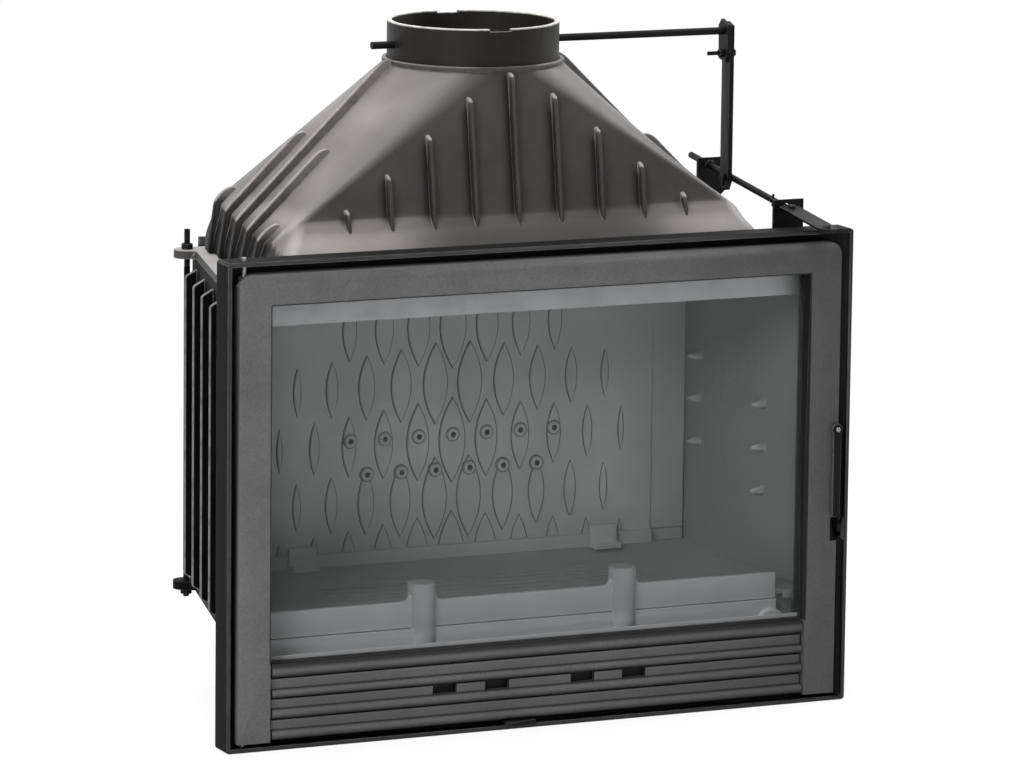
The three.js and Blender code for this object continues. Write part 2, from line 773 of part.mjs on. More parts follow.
// The hood's skin, taken in by a wall thickness for the inner one
function hoodSkin(inset, low, high, throat) {
  const rings = flareHeightShares.map((heightShare, i) => {
    const insetShare = flareInsetShares[i];
    const frontY = hoodFrontBase + hoodFrontInset * insetShare + inset;
    const rearY = hoodRearBase - hoodRearInset * insetShare - inset;
    const corner = hoodBaseCorner + (hoodShoulderCorner - hoodBaseCorner) * insetShare;
    const sideInset = -hoodSideInset * (1 - insetShare) + inset;
    return hoodRing(frontY, rearY, sideInset, corner, (shoulder) => low + (shoulder - inset - low) * heightShare);
  });
  rings.push(throatRing(throat, high));
  return loft(rings);
}

function hoodFins() {
  const fins = [];
  for (let i = 0; i < hoodFinCount; i += 1) {
    const place = flueCentre + ((hoodFinCount - 1) / 2 - i) * hoodFinPitch;
    const corner = hoodHalfAt(place) + hoodFinOut;
    const cornerHeight = sideShoulderAt(place) + hoodFinRise;
    const foot = corner + hoodSideInset;
    const top = cornerHeight + (hoodTop - cornerHeight) * hoodFinTopShares[i];
    const edgeEnd = corner - (top - cornerHeight) * hoodFinSlopeShare;
    const outline = [
      [foot - hoodFinRoot, hoodBase], [foot, hoodBase], [corner, cornerHeight],
      [edgeEnd, top], [edgeEnd - hoodFinNose * 0.5, top + hoodFinNose * 0.26],
      [edgeEnd - hoodFinNose, top + hoodFinNose * 0.33], [edgeEnd - hoodFinNose * 1.7, top - hoodFinNose * 0.8],
      [corner - hoodFinRoot, cornerHeight - hoodFinOut],
    ];
    for (const side of [-1, 1]) {
      const points = outline.map(([x, z]) => [side * x, z]);
      const turned = side > 0 ? points : points.reverse();
      fins.push(prism("y", turned, place - hoodFinThick / 2, place + hoodFinThick / 2));
    }
  }
  return fins;
}

function hoodRibs() {
  const ribs = [];
  const count = hoodRibTopShares.length;
  const panelRun = flueCentre - hoodThroatOuter - (hoodFrontBase + hoodFrontInset);
  const panelRise = hoodTop - hoodFrontShoulder;
  const panelAt = (z) => hoodFrontBase + hoodFrontInset + (z - hoodFrontShoulder) * (panelRun / panelRise);
  for (let i = 1 - count; i < count; i += 1) {
    const top = hoodRibFoot + hoodRibReach * hoodRibTopShares[count - 1 - Math.abs(i)];
    const edge = (z) => panelAt(z) - hoodRibOut;
    const outline = [
      [edge(hoodRibFoot) + hoodRibOut * 2, hoodRibFoot - hoodRibNose], [edge(hoodRibFoot), hoodRibFoot],
      [edge(top), top - hoodRibNose], [edge(top) + hoodRibOut * 0.3, top - hoodRibNose * 0.25],
      [edge(top) + hoodRibOut * 1.1, top], [edge(top) + hoodRibOut * 1.4, top],
      [edge(top) + hoodRibOut * 1.4, top - hoodRibNose],
      [edge(hoodRibFoot) + hoodRibOut * 2.4, hoodFrontShoulder],
    ];
    const x = i * hoodRibPitch;
    ribs.push(prism("x", outline.reverse(), x - hoodRibThick / 2, x + hoodRibThick / 2));
  }
  return ribs;
}

const hoodBase = topPlateTop + seat;
const hoodThroatOuter = flueOuterRadius + hoodWall * 0.5;

function hood() {
  const lip = bar("z", 0, flueCentre, hoodLipRadius, hoodTop - hoodLipHeight, hoodTop, flueSegments);
  const outer = [
    hoodSkin(0, hoodBase, hoodTop, hoodThroatOuter), lip, ...hoodFins(), ...hoodRibs(),
  ];
  const throat = bar("z", 0, flueCentre, hoodThroatRadius, flueSeat - hoodLipRadius / 2, hoodTop + cutOverrun,
    flueSegments);
  const socket = bar("z", 0, flueCentre, flueOuterRadius + seat, flueSeat, hoodTop + cutOverrun, flueSegments);
  return cut(joined(outer), [
    hoodSkin(hoodWall, hoodBase - cutOverrun, flueSeat - hoodWall, hoodThroatRadius), throat, socket,
  ]);
}

function flueCollar() {
  const low = flueSeat + seat;
  const shell = bar("z", 0, flueCentre, flueOuterRadius, low, flueTop, flueSegments);
  const bore = bar("z", 0, flueCentre, flueInnerRadius, low - cutOverrun, flueTop + cutOverrun, flueSegments);
  const shaftBore = bar("x", flueCentre, shaftHeight, (shaftDiameter + holePlay) / 2, -hoodLipRadius, hoodLipRadius);
  const notch = box(
    -flueNotchWidth / 2, flueNotchWidth / 2, -flueOuterRadius - cutOverrun, flueOuterRadius + cutOverrun,
    flueTop - flueNotchDepth, flueTop + cutOverrun,
  );
  notch.rotateZ(THREE.MathUtils.degToRad(-flueNotchTurn)).translate(0, flueCentre, 0);
  return cut(solidOf(shell), [bore, shaftBore, notch]);
}

// Damper: shaft through the collar, half flap behind it, and the arm with its clamp
function flapTools(geometry) {
  return geometry.rotateX(-THREE.MathUtils.degToRad(flapTilt)).translate(0, flueCentre, shaftHeight);
}

function flapScrews(extra) {
  const under = shaftDiameter / 2 + seat + flapThick;
  return [-flapScrewPlace, flapScrewPlace].flatMap((x) => [
    bar("z", x, 0, screwHead / 2 + extra, under + seat, under + seat + screwHeadHeight),
    bar("z", x, 0, screwShank / 2 + extra, 0, under + seat + screwHeadHeight / 2),
  ]).map(flapTools);
}

function damperShaft() {
  const shaft = bar("x", flueCentre, shaftHeight, shaftDiameter / 2, -shaftLeftReach, armPlace - seat, roundSteps);
  return cut(solidOf(shaft), flapScrews(holePlay / 2));
}

function damperFlap() {
  const points = Array.from({ length: roundSteps + 1 }, (_, i) => {
    const angle = Math.PI * (i / roundSteps);
    return [flapRadius * Math.cos(angle), flapRadius * Math.sin(angle)];
  });
  const low = shaftDiameter / 2 + seat;
  points.push([-flapRadius, -flapOverlap], [flapRadius, -flapOverlap]);
  const trim = bar("z", 0, 0, flapRadius, low - cutOverrun, low + flapThick + cutOverrun, flueSegments);
  const plate = solidOf(prism("z", points, low, low + flapThick)).intersect(solidOf(trim));
  return cut(solidOf(flapTools(geometryOf(plate))), flapScrews(holePlay / 2));
}

function flapScrew(side) {
  const first = side < 0 ? 0 : 2;
  return geometryOf(joined(flapScrews(0).slice(first, first + 2)));
}

function damperArm() {
  const half = armWidth / 2;
  const top = shaftHeight + armRise;
  const rodHeight = rodHeightAt(flueCentre);
  const foot = rodHeight - armTail;
  const outline = [
    [flueCentre - half, foot + half], [flueCentre - half * 0.4, foot], [flueCentre + half * 0.4, foot],
    [flueCentre + half, foot + half], [flueCentre + half, top - half], [flueCentre + half * 0.3, top],
    [flueCentre - half, top - half * 0.4],
  ];
  const slot = box(
    armPlace - cutOverrun, armFar + cutOverrun, flueCentre - armSlotWidth / 2, flueCentre + armSlotWidth / 2,
    rodHeight - armSlotBelow, rodHeight + armSlotAbove,
  );
  const boltHole = bar("x", flueCentre, shaftHeight - clampBoltDrop, (clampBoltDiameter + holePlay) / 2,
    armPlace - cutOverrun, armFar + cutOverrun);
  return cut(solidOf(prism("x", outline, armPlace, armFar)), [slot, boltHole]);
}

function armClamp() {
  const half = clampWidth / 2;
  const outline = [
    [flueCentre - half * 0.5, shaftHeight - clampDrop], [flueCentre + half * 0.9, shaftHeight - clampDrop * 0.9],
    [flueCentre + half, shaftHeight + clampRise * 0.4], [flueCentre + half * 0.4, shaftHeight + clampRise],
    [flueCentre - half, shaftHeight + clampRise * 0.6], [flueCentre - half, shaftHeight - clampDrop * 0.5],
  ];
  const high = armPlace - seat;
  const shaftHole = bar("x", flueCentre, shaftHeight, (shaftDiameter + holePlay) / 2,
    high - clampThick - cutOverrun, high + cutOverrun, roundSteps);
  const boltHole = bar("x", flueCentre, shaftHeight - clampBoltDrop, (clampBoltDiameter + holePlay) / 2,
    high - clampThick - cutOverrun, high + cutOverrun);
  return cut(solidOf(prism("x", outline, high - clampThick, high)), [shaftHole, boltHole]);
}

function clampBolt() {
  const z = shaftHeight - clampBoltDrop;
  const left = armPlace - seat - clampThick;
  const head = bar("x", flueCentre, z, clampNutWidth / Math.sqrt(3), armFar + seat, armFar + seat + clampNutHeight, 6);
  const shank = bar("x", flueCentre, z, clampBoltDiameter / 2, left - clampBoltReach, armFar + seat + clampNutHeight / 2);
  return geometryOf(joined([head, shank]));
}

function clampNut() {
  const z = shaftHeight - clampBoltDrop;
  const high = armPlace - seat - clampThick - seat;
  const nut = bar("x", flueCentre, z, clampNutWidth / Math.sqrt(3), high - clampNutHeight, high, 6);
  return cut(solidOf(nut), [
    bar("x", flueCentre, z, (clampBoltDiameter + holePlay) / 2, high - clampNutHeight - cutOverrun, high + cutOverrun),
  ]);
}

// The rod is built level along Y round its own point at the front bracket, then pitched
function rodTools(geometry) {
  return geometry.rotateX(rodPitch).translate(rodAcross, frontBracketPlace, rodFrontHole);
}

const alongRod = (y) => (y - frontBracketPlace) / Math.cos(rodPitch);
const handleRear = -(bracketThick / 2 + handleGap);

function controlRod() {
  const rodBar = bar("y", 0, 0, rodDiameter / 2, -rodAhead, alongRod(rearBracketPlace) + rodBehind, roundSteps);
  const flat = box(-rodDiameter, rodDiameter, -rodAhead - cutOverrun, handleRear, 0, rodDiameter);
  const pinPlace = alongRod(flueCentre);
  const pin = bar("x", pinPlace, 0, crossPinDiameter / 2, armPlace - rodAcross - seat - crossPinHeadHeight, 0, roundSteps);
  const head = bar("x", pinPlace, 0, crossPinHead / 2, armPlace - rodAcross - seat - crossPinHeadHeight,
    armPlace - rodAcross - seat, roundSteps);
  const screwHole = bar("z", 0, -handleScrewPlace, (screwShank + holePlay) / 2, -rodDiameter, rodDiameter);
  const pinHole = bar("z", 0, stopPinPlace, (stopPinDiameter + holePlay) / 2, -rodDiameter, rodDiameter);
  return rodTools(cut(joined([rodBar, pin, head]), [flat, screwHole, pinHole]));
}

// The pin leans with the rod, so its lower end comes nearest to the upright bracket
const stopPinLean = stopPinLength / 2 * Math.tan(rodPitch);
const stopPinPlace = bracketThick / 2 + stopPinLean + stopPinDiameter / 2 + pullStroke + seat;

function stopPin() {
  return rodTools(bar("z", 0, stopPinPlace, stopPinDiameter / 2, -stopPinLength / 2, stopPinLength / 2));
}

function pullHandle() {
  const half = handleWidth / 2;
  const front = handleRear - handleLength;
  const outline = [
    [-half, front + half], [-half * 0.5, front + half * 0.15], [half * 0.5, front + half * 0.15],
    [half, front + half], [half, handleRear - half * 0.3], [half * 0.7, handleRear],
    [-half * 0.7, handleRear], [-half, handleRear - half * 0.3],
  ];
  const low = seat;
  const plate = prism("z", outline, low, low + handleThick);
  const hole = bar("z", 0, -handleScrewPlace, (screwShank + holePlay) / 2, low - cutOverrun, low + handleThick + cutOverrun);
  const button = bar("z", 0, front + half, buttonDiameter / 2, low + handleThick / 2, low + handleThick + buttonHeight,
    roundSteps);
  return rodTools(geometryOf(solidOf(plate).subtract(solidOf(hole)).add(solidOf(button))));
}

function handleScrew() {
  const top = seat + handleThick + seat;
  return rodTools(geometryOf(joined([
    bar("z", 0, -handleScrewPlace, screwHead / 2, top, top + screwHeadHeight),
    bar("z", 0, -handleScrewPlace, screwShank / 2, -rodDiameter / 2, top + screwHeadHeight / 2),
  ])));
}

// A rod bracket: an upright plate with a foot on the top plate beside the hood
function rodBracket(place, footFrom, footTo) {
  const low = topPlateTop + seat;
  const top = rodHeightAt(place) + bracketRise;
  const shoulder = topPlateTop + bracketShoulder;
  const wideFrom = bracketMiddle - bracketWidth / 2;
  const wideTo = bracketMiddle + bracketWidth / 2;
  const outline = [
    [footFrom, low], [footTo, low], [wideTo, shoulder], [wideTo, top], [wideFrom, top], [wideFrom, shoulder],
    [footFrom, shoulder - bracketFootWidth / 2],
  ];
  const plate = prism("y", outline, place - bracketThick / 2, place + bracketThick / 2);
  const foot = box(footFrom, footTo, place, place + bracketFootDepth, low, low + bracketThick);
  const rodHole = bar("y", rodAcross, rodHeightAt(place), (rodDiameter + holePlay + bracketThick / 2) / 2,
    place - bracketThick, place + bracketThick, roundSteps);
  return cut(joined([plate, foot]), [rodHole]);
}

const rearFoot = hoodHalfAt(rearBracketPlace) + hoodSideInset + bracketFootGap;
const frontFoot = bracketMiddle - bracketWidth / 2;

function bracketBolt(across, place) {
  const low = topPlateTop + seat + bracketThick + seat;
  return bar("z", across, place + bracketFootDepth * 0.6, bracketBoltWidth / Math.sqrt(3),
    low, low + bracketBoltHeight, 6);
}

// A pointed oval: two arcs that meet at its ends
function pointedOval(x, z, halfWidth, halfHeight) {
  const steps = 3;
  const side = (sign) => Array.from({ length: 2 * steps }, (_, i) => {
    const t = -1 + i / steps;
    return [x + sign * halfWidth * (1 - t * t), z + sign * halfHeight * t];
  });
  return [...side(1), ...side(-1)];
}

// Fireback: staggered pointed ovals in shallow relief, and air holes in small bosses
function fireback() {
  const low = hearthTop + seat;
  const parts = [
    box(-firebackHalf, firebackHalf, firebackFront, firebackFront + firebackThick, low, firebackTop),
    box(-firebackHalf, firebackHalf, firebackFront - clipThick, firebackFront + firebackThick / 2, low,
      hearthTop + plinthHeight),
  ];
  const reach = (reliefColumns - 1) / 2;
  for (let row = 0; row < reliefRows; row += 1) {
    const shift = row % 2 === 0 ? 0 : 0.5;
    for (let i = -reach; i + shift <= reach; i += 1) {
      const across = Math.abs(i + shift) / reach;
      const x = (i + shift) * reliefPitch;
      const z = reliefMiddle + (row - (reliefRows - 1) / 2) * reliefRowPitch;
      const halfWidth = reliefHalfWidth * (1 - reliefNarrowShare * across);
      const halfHeight = reliefHalfHeight * (1 - reliefShortShare * across);
      const oval = pointedOval(x, z, halfWidth, halfHeight);
      parts.push(prism("y", oval, firebackFront - reliefDepth, firebackFront + seat));
    }
  }
  const holes = [];
  for (const [count, z] of [[airUpperCount, airUpperHeight], [airLowerCount, airLowerHeight]]) {
    for (let i = 0; i < count; i += 1) {
      const x = (i - (count - 1) / 2) * airPitch;
      parts.push(bar("y", x, z, airBossDiameter / 2, firebackFront - airBossHeight, firebackFront + seat, smallSteps));
      holes.push(bar("y", x, z, airHoleDiameter / 2, firebackFront - airBossHeight - cutOverrun,
        firebackFront + firebackThick + cutOverrun, 6));
    }
  }
  const trimBottom = box(-frameHalf, frameHalf, 0, bodyBack, 0, low);
  const trimTop = box(-frameHalf, frameHalf, 0, bodyBack, firebackTop, flueTop);
  const steps = [-1, 1].map((side) => box(
    Math.min(side * firebackStepPlace, side * frameHalf), Math.max(side * firebackStepPlace, side * frameHalf),
    firebackFront - cutOverrun * 3, firebackFront + firebackStep, low - cutOverrun, firebackTop + cutOverrun,
  ));
  return cut(joined(parts), [...holes, ...steps, trimBottom, trimTop]);
}

function firebackClip(side) {
  const x = side * clipPlace;
  const front = firebackFront - clipThick - seat;
  return geometryOf(joined([
    box(x - clipWidth / 2, x + clipWidth / 2, front - clipThick, front, hearthTop + seat, hearthTop + clipHeight),
    box(x - clipWidth / 2, x + clipWidth / 2, front - clipFoot, front, hearthTop + seat, hearthTop + seat + clipThick),
  ]));
}

const baffleRest = firebackTop + seat;

function bafflePlate() {
  const low = baffleRest + seat;
  const rear = firebackFront + firebackThick;
  const frontHalf = bodyHalfAt(baffleFront) - wallThick - bafflePlay;
  const rearHalf = bodyHalfAt(rear) - wallThick - bafflePlay;
  const plan = [[-frontHalf, baffleFront], [frontHalf, baffleFront], [rearHalf, rear], [-rearHalf, rear]];
  return prism("z", plan, low, low + baffleThick);
}

// Hearth floor: level round the grate, then rising to the foot of the fireback
function hearthFloor() {
  const low = baseTop + seat;
  const rear = firebackFront + firebackThick;
  const inset = wallThick + seat * 2;
  const plan = [
    [-bodyHalfAt(hearthFront) + inset, hearthFront], [bodyHalfAt(hearthFront) - inset, hearthFront],
    [bodyHalfAt(rear) - inset, rear], [-bodyHalfAt(rear) + inset, rear],
  ];
  const profile = [
    [hearthFront, low], [rear, low], [rear, hearthTop], [hearthSlopeRear, hearthTop],
    [grateRear + seat, hearthLow], [hearthFront, hearthLow],
  ];
  const floor = solidOf(prism("z", plan, low - cutOverrun, hearthTop + cutOverrun))
    .intersect(solidOf(prism("x", profile, -frameHalf, frameHalf)));
  return cut(floor, [box(-grateHalf - seat, grateHalf + seat, grateFront - seat, grateRear + seat,
    low - cutOverrun, hearthTop + cutOverrun)]);
}

function grate() {
  const low = baseTop + seat;
  const rowPitch = (grateRear - grateFront - grateRibWidth) / grateRows;
  const columnPitch = (grateHalf * 2 - grateRibWidth) / grateColumns;
  const slots = [];
  for (let row = 0; row < grateRows; row += 1) {
    const y = (grateFront + grateRear) / 2 + (row - (grateRows - 1) / 2) * rowPitch;
    const half = rowPitch * grateSlotShare / 2;
    for (let column = 0; column < grateColumns; column += 1) {
      const x = -grateHalf + grateRibWidth + column * columnPitch;
      slots.push(box(x, x + columnPitch - grateRibWidth, y - half, y + half, low - cutOverrun,
        hearthLow + cutOverrun));
    }
  }
  return cut(solidOf(box(-grateHalf, grateHalf, grateFront, grateRear, low, hearthLow)), slots);
}

function ashBox() {
  const high = baseUnderside - seat;
  const shell = solidOf(box(-ashBoxHalf, ashBoxHalf, bodyFront, ashBoxRear, 0, high));
  return cut(shell, [
    box(-ashBoxHalf + ashBoxWall, ashBoxHalf - ashBoxWall, bodyFront - cutOverrun, ashBoxRear - ashBoxWall,
      ashBoxWall, high + cutOverrun),
    box(-frameHalf, frameHalf, 0, guardBack, mouthSill - seat, high + cutOverrun),
  ]);
}

function ashPan() {
  const low = ashBoxWall + seat;
  const front = bodyFront + panFrontGap;
  const rear = ashBoxRear - ashBoxWall - panRearGap;
  const tray = box(-panHalf, panHalf, front, rear, low, low + panHeight);
  const grip = box(-panGripWidth / 2, panGripWidth / 2, front - panGripOut, front + panWall / 2,
    low + panHeight - panGripHeight, low + panHeight - panGripHeight / 2);
  return cut(joined([tray, grip]), [
    box(-panHalf + panWall, panHalf - panWall, front + panWall, rear - panWall, low + panWall,
      low + panHeight + cutOverrun),
  ]);
}

// Log guard: a stepped bar with two round posts and a round boss at its right end. It hangs
// in front of the base plate and rests on it with a heel
function logGuard() {
  const low = mouthSill + seat;
  const step = guardLowerThick - guardUpperThick;
  const rest = baseTop + seat;
  const back = guardFront + guardLowerThick;
  const parts = [
    box(-guardHalf, guardHalf, guardFront + step, back, low, guardTop),
    box(-guardHalf, guardHalf, guardFront, back, low, guardStep),
    box(-guardHalf, guardHalf, back - guardUpperThick, back + guardHeel, rest, rest + guardHeelHeight),
    bar("y", guardKnobPlace, guardKnobHeight, guardKnobDiameter / 2, guardFront - guardKnobOut,
      guardFront + guardLowerThick / 2, roundSteps),
  ];
  const radius = guardPostDiameter / 2;
  for (const side of [-1, 1]) {
    const place = guardFront - guardPostStand + radius;
    parts.push(bar("z", side * guardPostPlace, place, radius, low, guardPostTop, roundSteps));
  }
  const underKnob = box(-frameHalf, frameHalf, 0, bodyBack, 0, low);
  const plateRoom = box(-frameHalf, frameHalf, back, bodyBack, 0, rest);
  return cut(joined(parts), [underKnob, plateRoom]);
}

function airWashChannel() {
  const top = topUnderside - seat;
  const half = mouthHalf - channelSideGap;
  const outline = [
    [channelFront, channelBottom], [channelFront + channelThick, channelBottom],
    [channelFront + channelThick, top - channelThick], [channelFront + channelDepth, top - channelThick],
    [channelFront + channelDepth, top], [channelFront, top],
  ];
  return prism("x", outline, -half, half);
}

// Door frame: one casting with the window, the recess for the grille, and the rope groove
function doorFrame() {
  const outline = roundedRectangle(-doorHalf, doorHalf, doorSill, doorTop, [0, 0, doorCorner, doorCorner]);
  const plate = prism("y", outline, 0, doorThick);
  const shutterRoom = grilleDepth + windowRecess;
  const notchLeft = doorHalf - latchNotchDepth;
  const cutters = [
    box(-openingHalf, openingHalf, -cutOverrun, doorThick + cutOverrun, lowerRailTop, openingTop),
    box(-openingHalf, openingHalf, -cutOverrun, shutterRoom, doorSill - cutOverrun, lowerRailTop + cutOverrun),
    box(-webWindowHalf, webWindowHalf, 0, doorThick + cutOverrun, webWindowLow, webWindowHigh),
    box(notchLeft, doorHalf + cutOverrun, -cutOverrun, doorThick + cutOverrun, latchNotchBottom, latchNotchTop),
    bar("y", latchPlace, latchPivotHeight, (latchScrewShank + holePlay) / 2, -cutOverrun, doorThick * 0.6),
    ...gasketPieces(gasketDiameter / 2 + seat, doorThick - gasketGroove, doorThick + gasketDiameter),
    ...hingePinSpans().map(([from, to]) => (
      bar("z", hingeAxis.x, hingeAxis.y, (hingePinDiameter + holePlay) / 2, from - seat, to + seat, roundSteps)
    )),
  ];
  return cut(solidOf(plate), cutters);
}

// Straight runs of the rope seal's path as boxes, for the groove
function gasketPieces(half, front, back) {
  const { left, right, low, high } = gasketPath();
  return [
    box(left - half, right + half, front, back, low - half, low + half),
    box(left - half, right + half, front, back, high - half, high + half),
    box(left - half, left + half, front, back, low, high),
    box(right - half, right + half, front, back, low, high),
  ];
}

function gasketPath() {
  return {
    left: -doorHalf + gasketInset, right: doorHalf - gasketInset,
    low: doorSill + gasketInset, high: doorTop - gasketInset,
  };
}

// The rope is one ring: its flattened round section is carried round the rectangle
function doorGasket() {
  const { left, right, low, high } = gasketPath();
  const front = doorThick - gasketGroove + seat;
  const back = webFront - seat;
  const middle = (front + back) / 2;
  const corners = [[left, low, -1, -1], [right, low, 1, -1], [right, high, 1, 1], [left, high, -1, 1]];
  const points = [];
  for (const [x, z, outX, outZ] of corners) {
    for (let i = 0; i < gasketSides; i += 1) {
      const angle = (i / gasketSides) * Math.PI * 2;
      const out = (gasketDiameter / 2) * Math.cos(angle);
      points.push([x + outX * out, middle + ((back - front) / 2) * Math.sin(angle), z + outZ * out]);
    }
  }
  const index = [];
  for (let corner = 0; corner < 4; corner += 1) {
    for (let i = 0; i < gasketSides; i += 1) {
      const a = corner * gasketSides + i;
      const b = corner * gasketSides + ((i + 1) % gasketSides);
      const c = ((corner + 1) % 4) * gasketSides + ((i + 1) % gasketSides);
      const d = ((corner + 1) % 4) * gasketSides + i;
      index.push(a, c, d, a, b, c);
    }
  }
  const geometry = new THREE.BufferGeometry();
  geometry.setAttribute("position", new THREE.Float32BufferAttribute(points.flat(), 3));
  geometry.setIndex(index);
  return geometry;
}

function doorGlass() {
  const front = doorThick + seat;
  return box(-openingHalf - glassLap, openingHalf + glassLap, front, front + glassThick,
    lowerRailTop - glassLap, openingTop + glassLap);
}

// Flat bars behind the glass, a little over its edge, and their screws
function glassRetainer(edge) {
  const front = doorThick + seat + glassThick + seat;
  const outerX = openingHalf + glassLap - seat;
  const outerZ = [lowerRailTop - glassLap + seat, openingTop + glassLap - seat];
  const upright = [outerZ[0] + retainerWidth + seat, outerZ[1] - retainerWidth - seat];
  const back = front + retainerThick;
  if (edge === "left") {
    return box(-outerX, -outerX + retainerWidth, front, back, upright[0], upright[1]);
  }
  if (edge === "right") {
    return box(outerX - retainerWidth, outerX, front, back, upright[0], upright[1]);
  }
  if (edge === "top") {
    return box(-outerX, outerX, front, back, outerZ[1] - retainerWidth, outerZ[1]);
  }
  return box(-outerX, outerX, front, back, outerZ[0], outerZ[0] + retainerWidth);
}

// Lower grille: rounded bars, flat bands between them, a narrow groove under each bar
function grilleProfile() {
  const height = grilleTop - grilleBottom;
  const at = (share) => grilleBottom + height * share;
  const points = [];
  barTopShares.forEach((topShare, i) => {
    const top = at(topShare);
    const foot = at(barFootShares[i]);
    for (let step = 0; step <= barSteps; step += 1) {
      const angle = Math.PI * (step / barSteps);
      const z = (top + foot) / 2 + ((top - foot) / 2) * Math.cos(angle);
      points.push([bandRecess * (1 - Math.sin(angle)), z]);
    }
    if (i < barTopShares.length - 1) {
      points.push([grooveRecess, foot], [grooveRecess, foot - grooveHeight], [bandRecess, foot - grooveHeight]);
    }
  });
  points.push([grilleDepth - seat, grilleBottom], [grilleDepth - seat, grilleTop]);
  return points;
}

function slotSpan() {
  const height = grilleTop - grilleBottom;
  return [grilleBottom + height * barTopShares[2], grilleBottom + height * barFootShares[1] - grooveHeight];
}

const slotPlaces = [-slotOuter, -slotInner, slotInner, slotOuter];

function lowerGrille() {
  const half = openingHalf - grilleSideGap;
  const [low, high] = slotSpan();
  const slots = slotPlaces.map((x) => (
    box(x - slotWidth / 2, x + slotWidth / 2, -cutOverrun, grilleDepth + cutOverrun, low, high)
  ));
  return cut(solidOf(prism("x", grilleProfile(), -half, half)), slots);
}

// Air shutter: a plate with four windows behind the grille, and a tab under the door
function airShutter() {
  const front = grilleDepth + (windowRecess - shutterThick) / 2;
  const back = front + shutterThick;
  const [low, high] = slotSpan();
  const tabLeft = -shutterTabPlace - shutterTabWidth / 2;
  const tabRight = tabLeft + shutterTabWidth;
  const half = shutterHalf + shutterStroke / 2;
  const parts = [
    box(-half - shutterStroke / 2, half - shutterStroke / 2, front, back, low - shutterMargin, high + shutterMargin),
    box(tabLeft, tabRight, front, back, shutterTabHeight, low),
    box(tabLeft, tabRight, -shutterTabOut, back, shutterTabHeight, shutterTabHeight + shutterTabThick),
  ];
  const windows = slotPlaces.map((x) => box(
    x - shutterStroke - slotWidth / 2 - shutterWindowMargin, x - shutterStroke + slotWidth / 2 + shutterWindowMargin,
    front - cutOverrun, back + cutOverrun, low - shutterWindowMargin, high + shutterWindowMargin,
  ));
  return cut(joined(parts), windows);
}

// Latch: a bar that hangs from a pivot screw, with a tongue in the door's notch
function latchLever() {
  const front = -latchFaceGap - latchBarThick;
  const back = -latchFaceGap;
  const half = latchBarWidth / 2;
  const foot = latchPivotHeight - latchBarDrop;
  const tongueRight = doorHalf + latchTongueReach;
  const parts = [
    bar("y", latchPlace, latchPivotHeight, latchEyeRadius, front, back, roundSteps),
    box(latchPlace - half, latchPlace + half, front, back, foot, latchPivotHeight),
    box(tongueRight - latchTongueWidth, tongueRight, front, back, latchNotchTop - latchTongueDepth, foot + half),
    box(tongueRight - latchTongueWidth, tongueRight, front, latchTongueDepth,
      latchNotchTop - latchTongueDepth * 2, latchNotchTop - latchFaceGap * 2),
  ];
  const hole = bar("y", latchPlace, latchPivotHeight, (latchScrewShank + holePlay) / 2,
    front - cutOverrun, back + cutOverrun, roundSteps);
  return cut(joined(parts), [hole]);
}

function latchScrew() {
  const front = -latchFaceGap - latchBarThick - seat;
  return geometryOf(joined([
    bar("y", latchPlace, latchPivotHeight, latchScrewHead / 2, front - latchScrewHeadHeight, front, roundSteps),
    bar("y", latchPlace, latchPivotHeight, latchScrewShank / 2, front - latchScrewHeadHeight / 2, doorThick * 0.5,
      roundSteps),
  ]));
}

// Keeper: a half-round lug on the inside of the frame's rim, beside the door's notch
function latchKeeper() {
  const wall = frameHalf - frameRim - seat;
  const middle = (latchNotchTop + latchNotchBottom) / 2;
  const radius = (latchNotchTop - latchNotchBottom) / 2 - holePlay;
  const points = Array.from({ length: smallSteps + 1 }, (_, i) => {
    const angle = Math.PI / 2 + Math.PI * (i / smallSteps);
    return [wall + keeperReach * Math.cos(angle), middle + radius * Math.sin(angle)];
  });
  return prism("y", points, 0, keeperDepth);
}

function hingePin([from, to]) {
  return bar("z", hingeAxis.x, hingeAxis.y, hingePinDiameter / 2, from, to, roundSteps);
}

addMesh("front_frame", frontFrame(), castGrey);
addMesh("lower_hinge_pin", hingePin(hingePinSpans()[0]), steelBright);
addMesh("upper_hinge_pin", hingePin(hingePinSpans()[1]), steelBright);
addMesh("latch_keeper", latchKeeper(), castGrey);
addMesh("base_plate", basePlate(), castBlack);
addMesh("top_plate", topPlate(), castBlack);
addMesh("left_side_plate", sidePlate(-1), castBlack);
addMesh("right_side_plate", sidePlate(1), castBlack);
addMesh("rear_plate", rearPlate(), castBlack);
addMesh("left_tie_rod", tieRod(-1), steelBlack);
addMesh("right_tie_rod", tieRod(1), steelBlack);
for (const [side, word] of [[-1, "left"], [1, "right"]]) {
  addMesh(`${word}_tie_rod_upper_nut`, tieRodNut(side, topPlateTop + seat), steelBlack);
  addMesh(`${word}_tie_rod_lower_nut`, tieRodNut(side, baseUnderside - seat - tieNutHeight), steelBlack);
}
addMesh("hood", hood(), hoodPaint);
addMesh("flue_collar", flueCollar(), collarBlack);
addMesh("fireback", fireback(), castInner);
addMesh("left_fireback_clip", firebackClip(-1), castInner);
addMesh("right_fireback_clip", firebackClip(1), castInner);
addMesh("baffle_plate", bafflePlate(), castInner);
addMesh("hearth_floor", hearthFloor(), castInner);
addMesh("grate", grate(), castInner);
addMesh("ash_box", ashBox(), castBlack);
addMesh("ash_pan", ashPan(), sheetSteel);
addMesh("log_guard", logGuard(), castInner);
addMesh("air_wash_channel", airWashChannel(), sheetSteel);
addMesh("rear_rod_bracket", rodBracket(rearBracketPlace, rearFoot, rearFoot + bracketFootWidth), steelBlack);
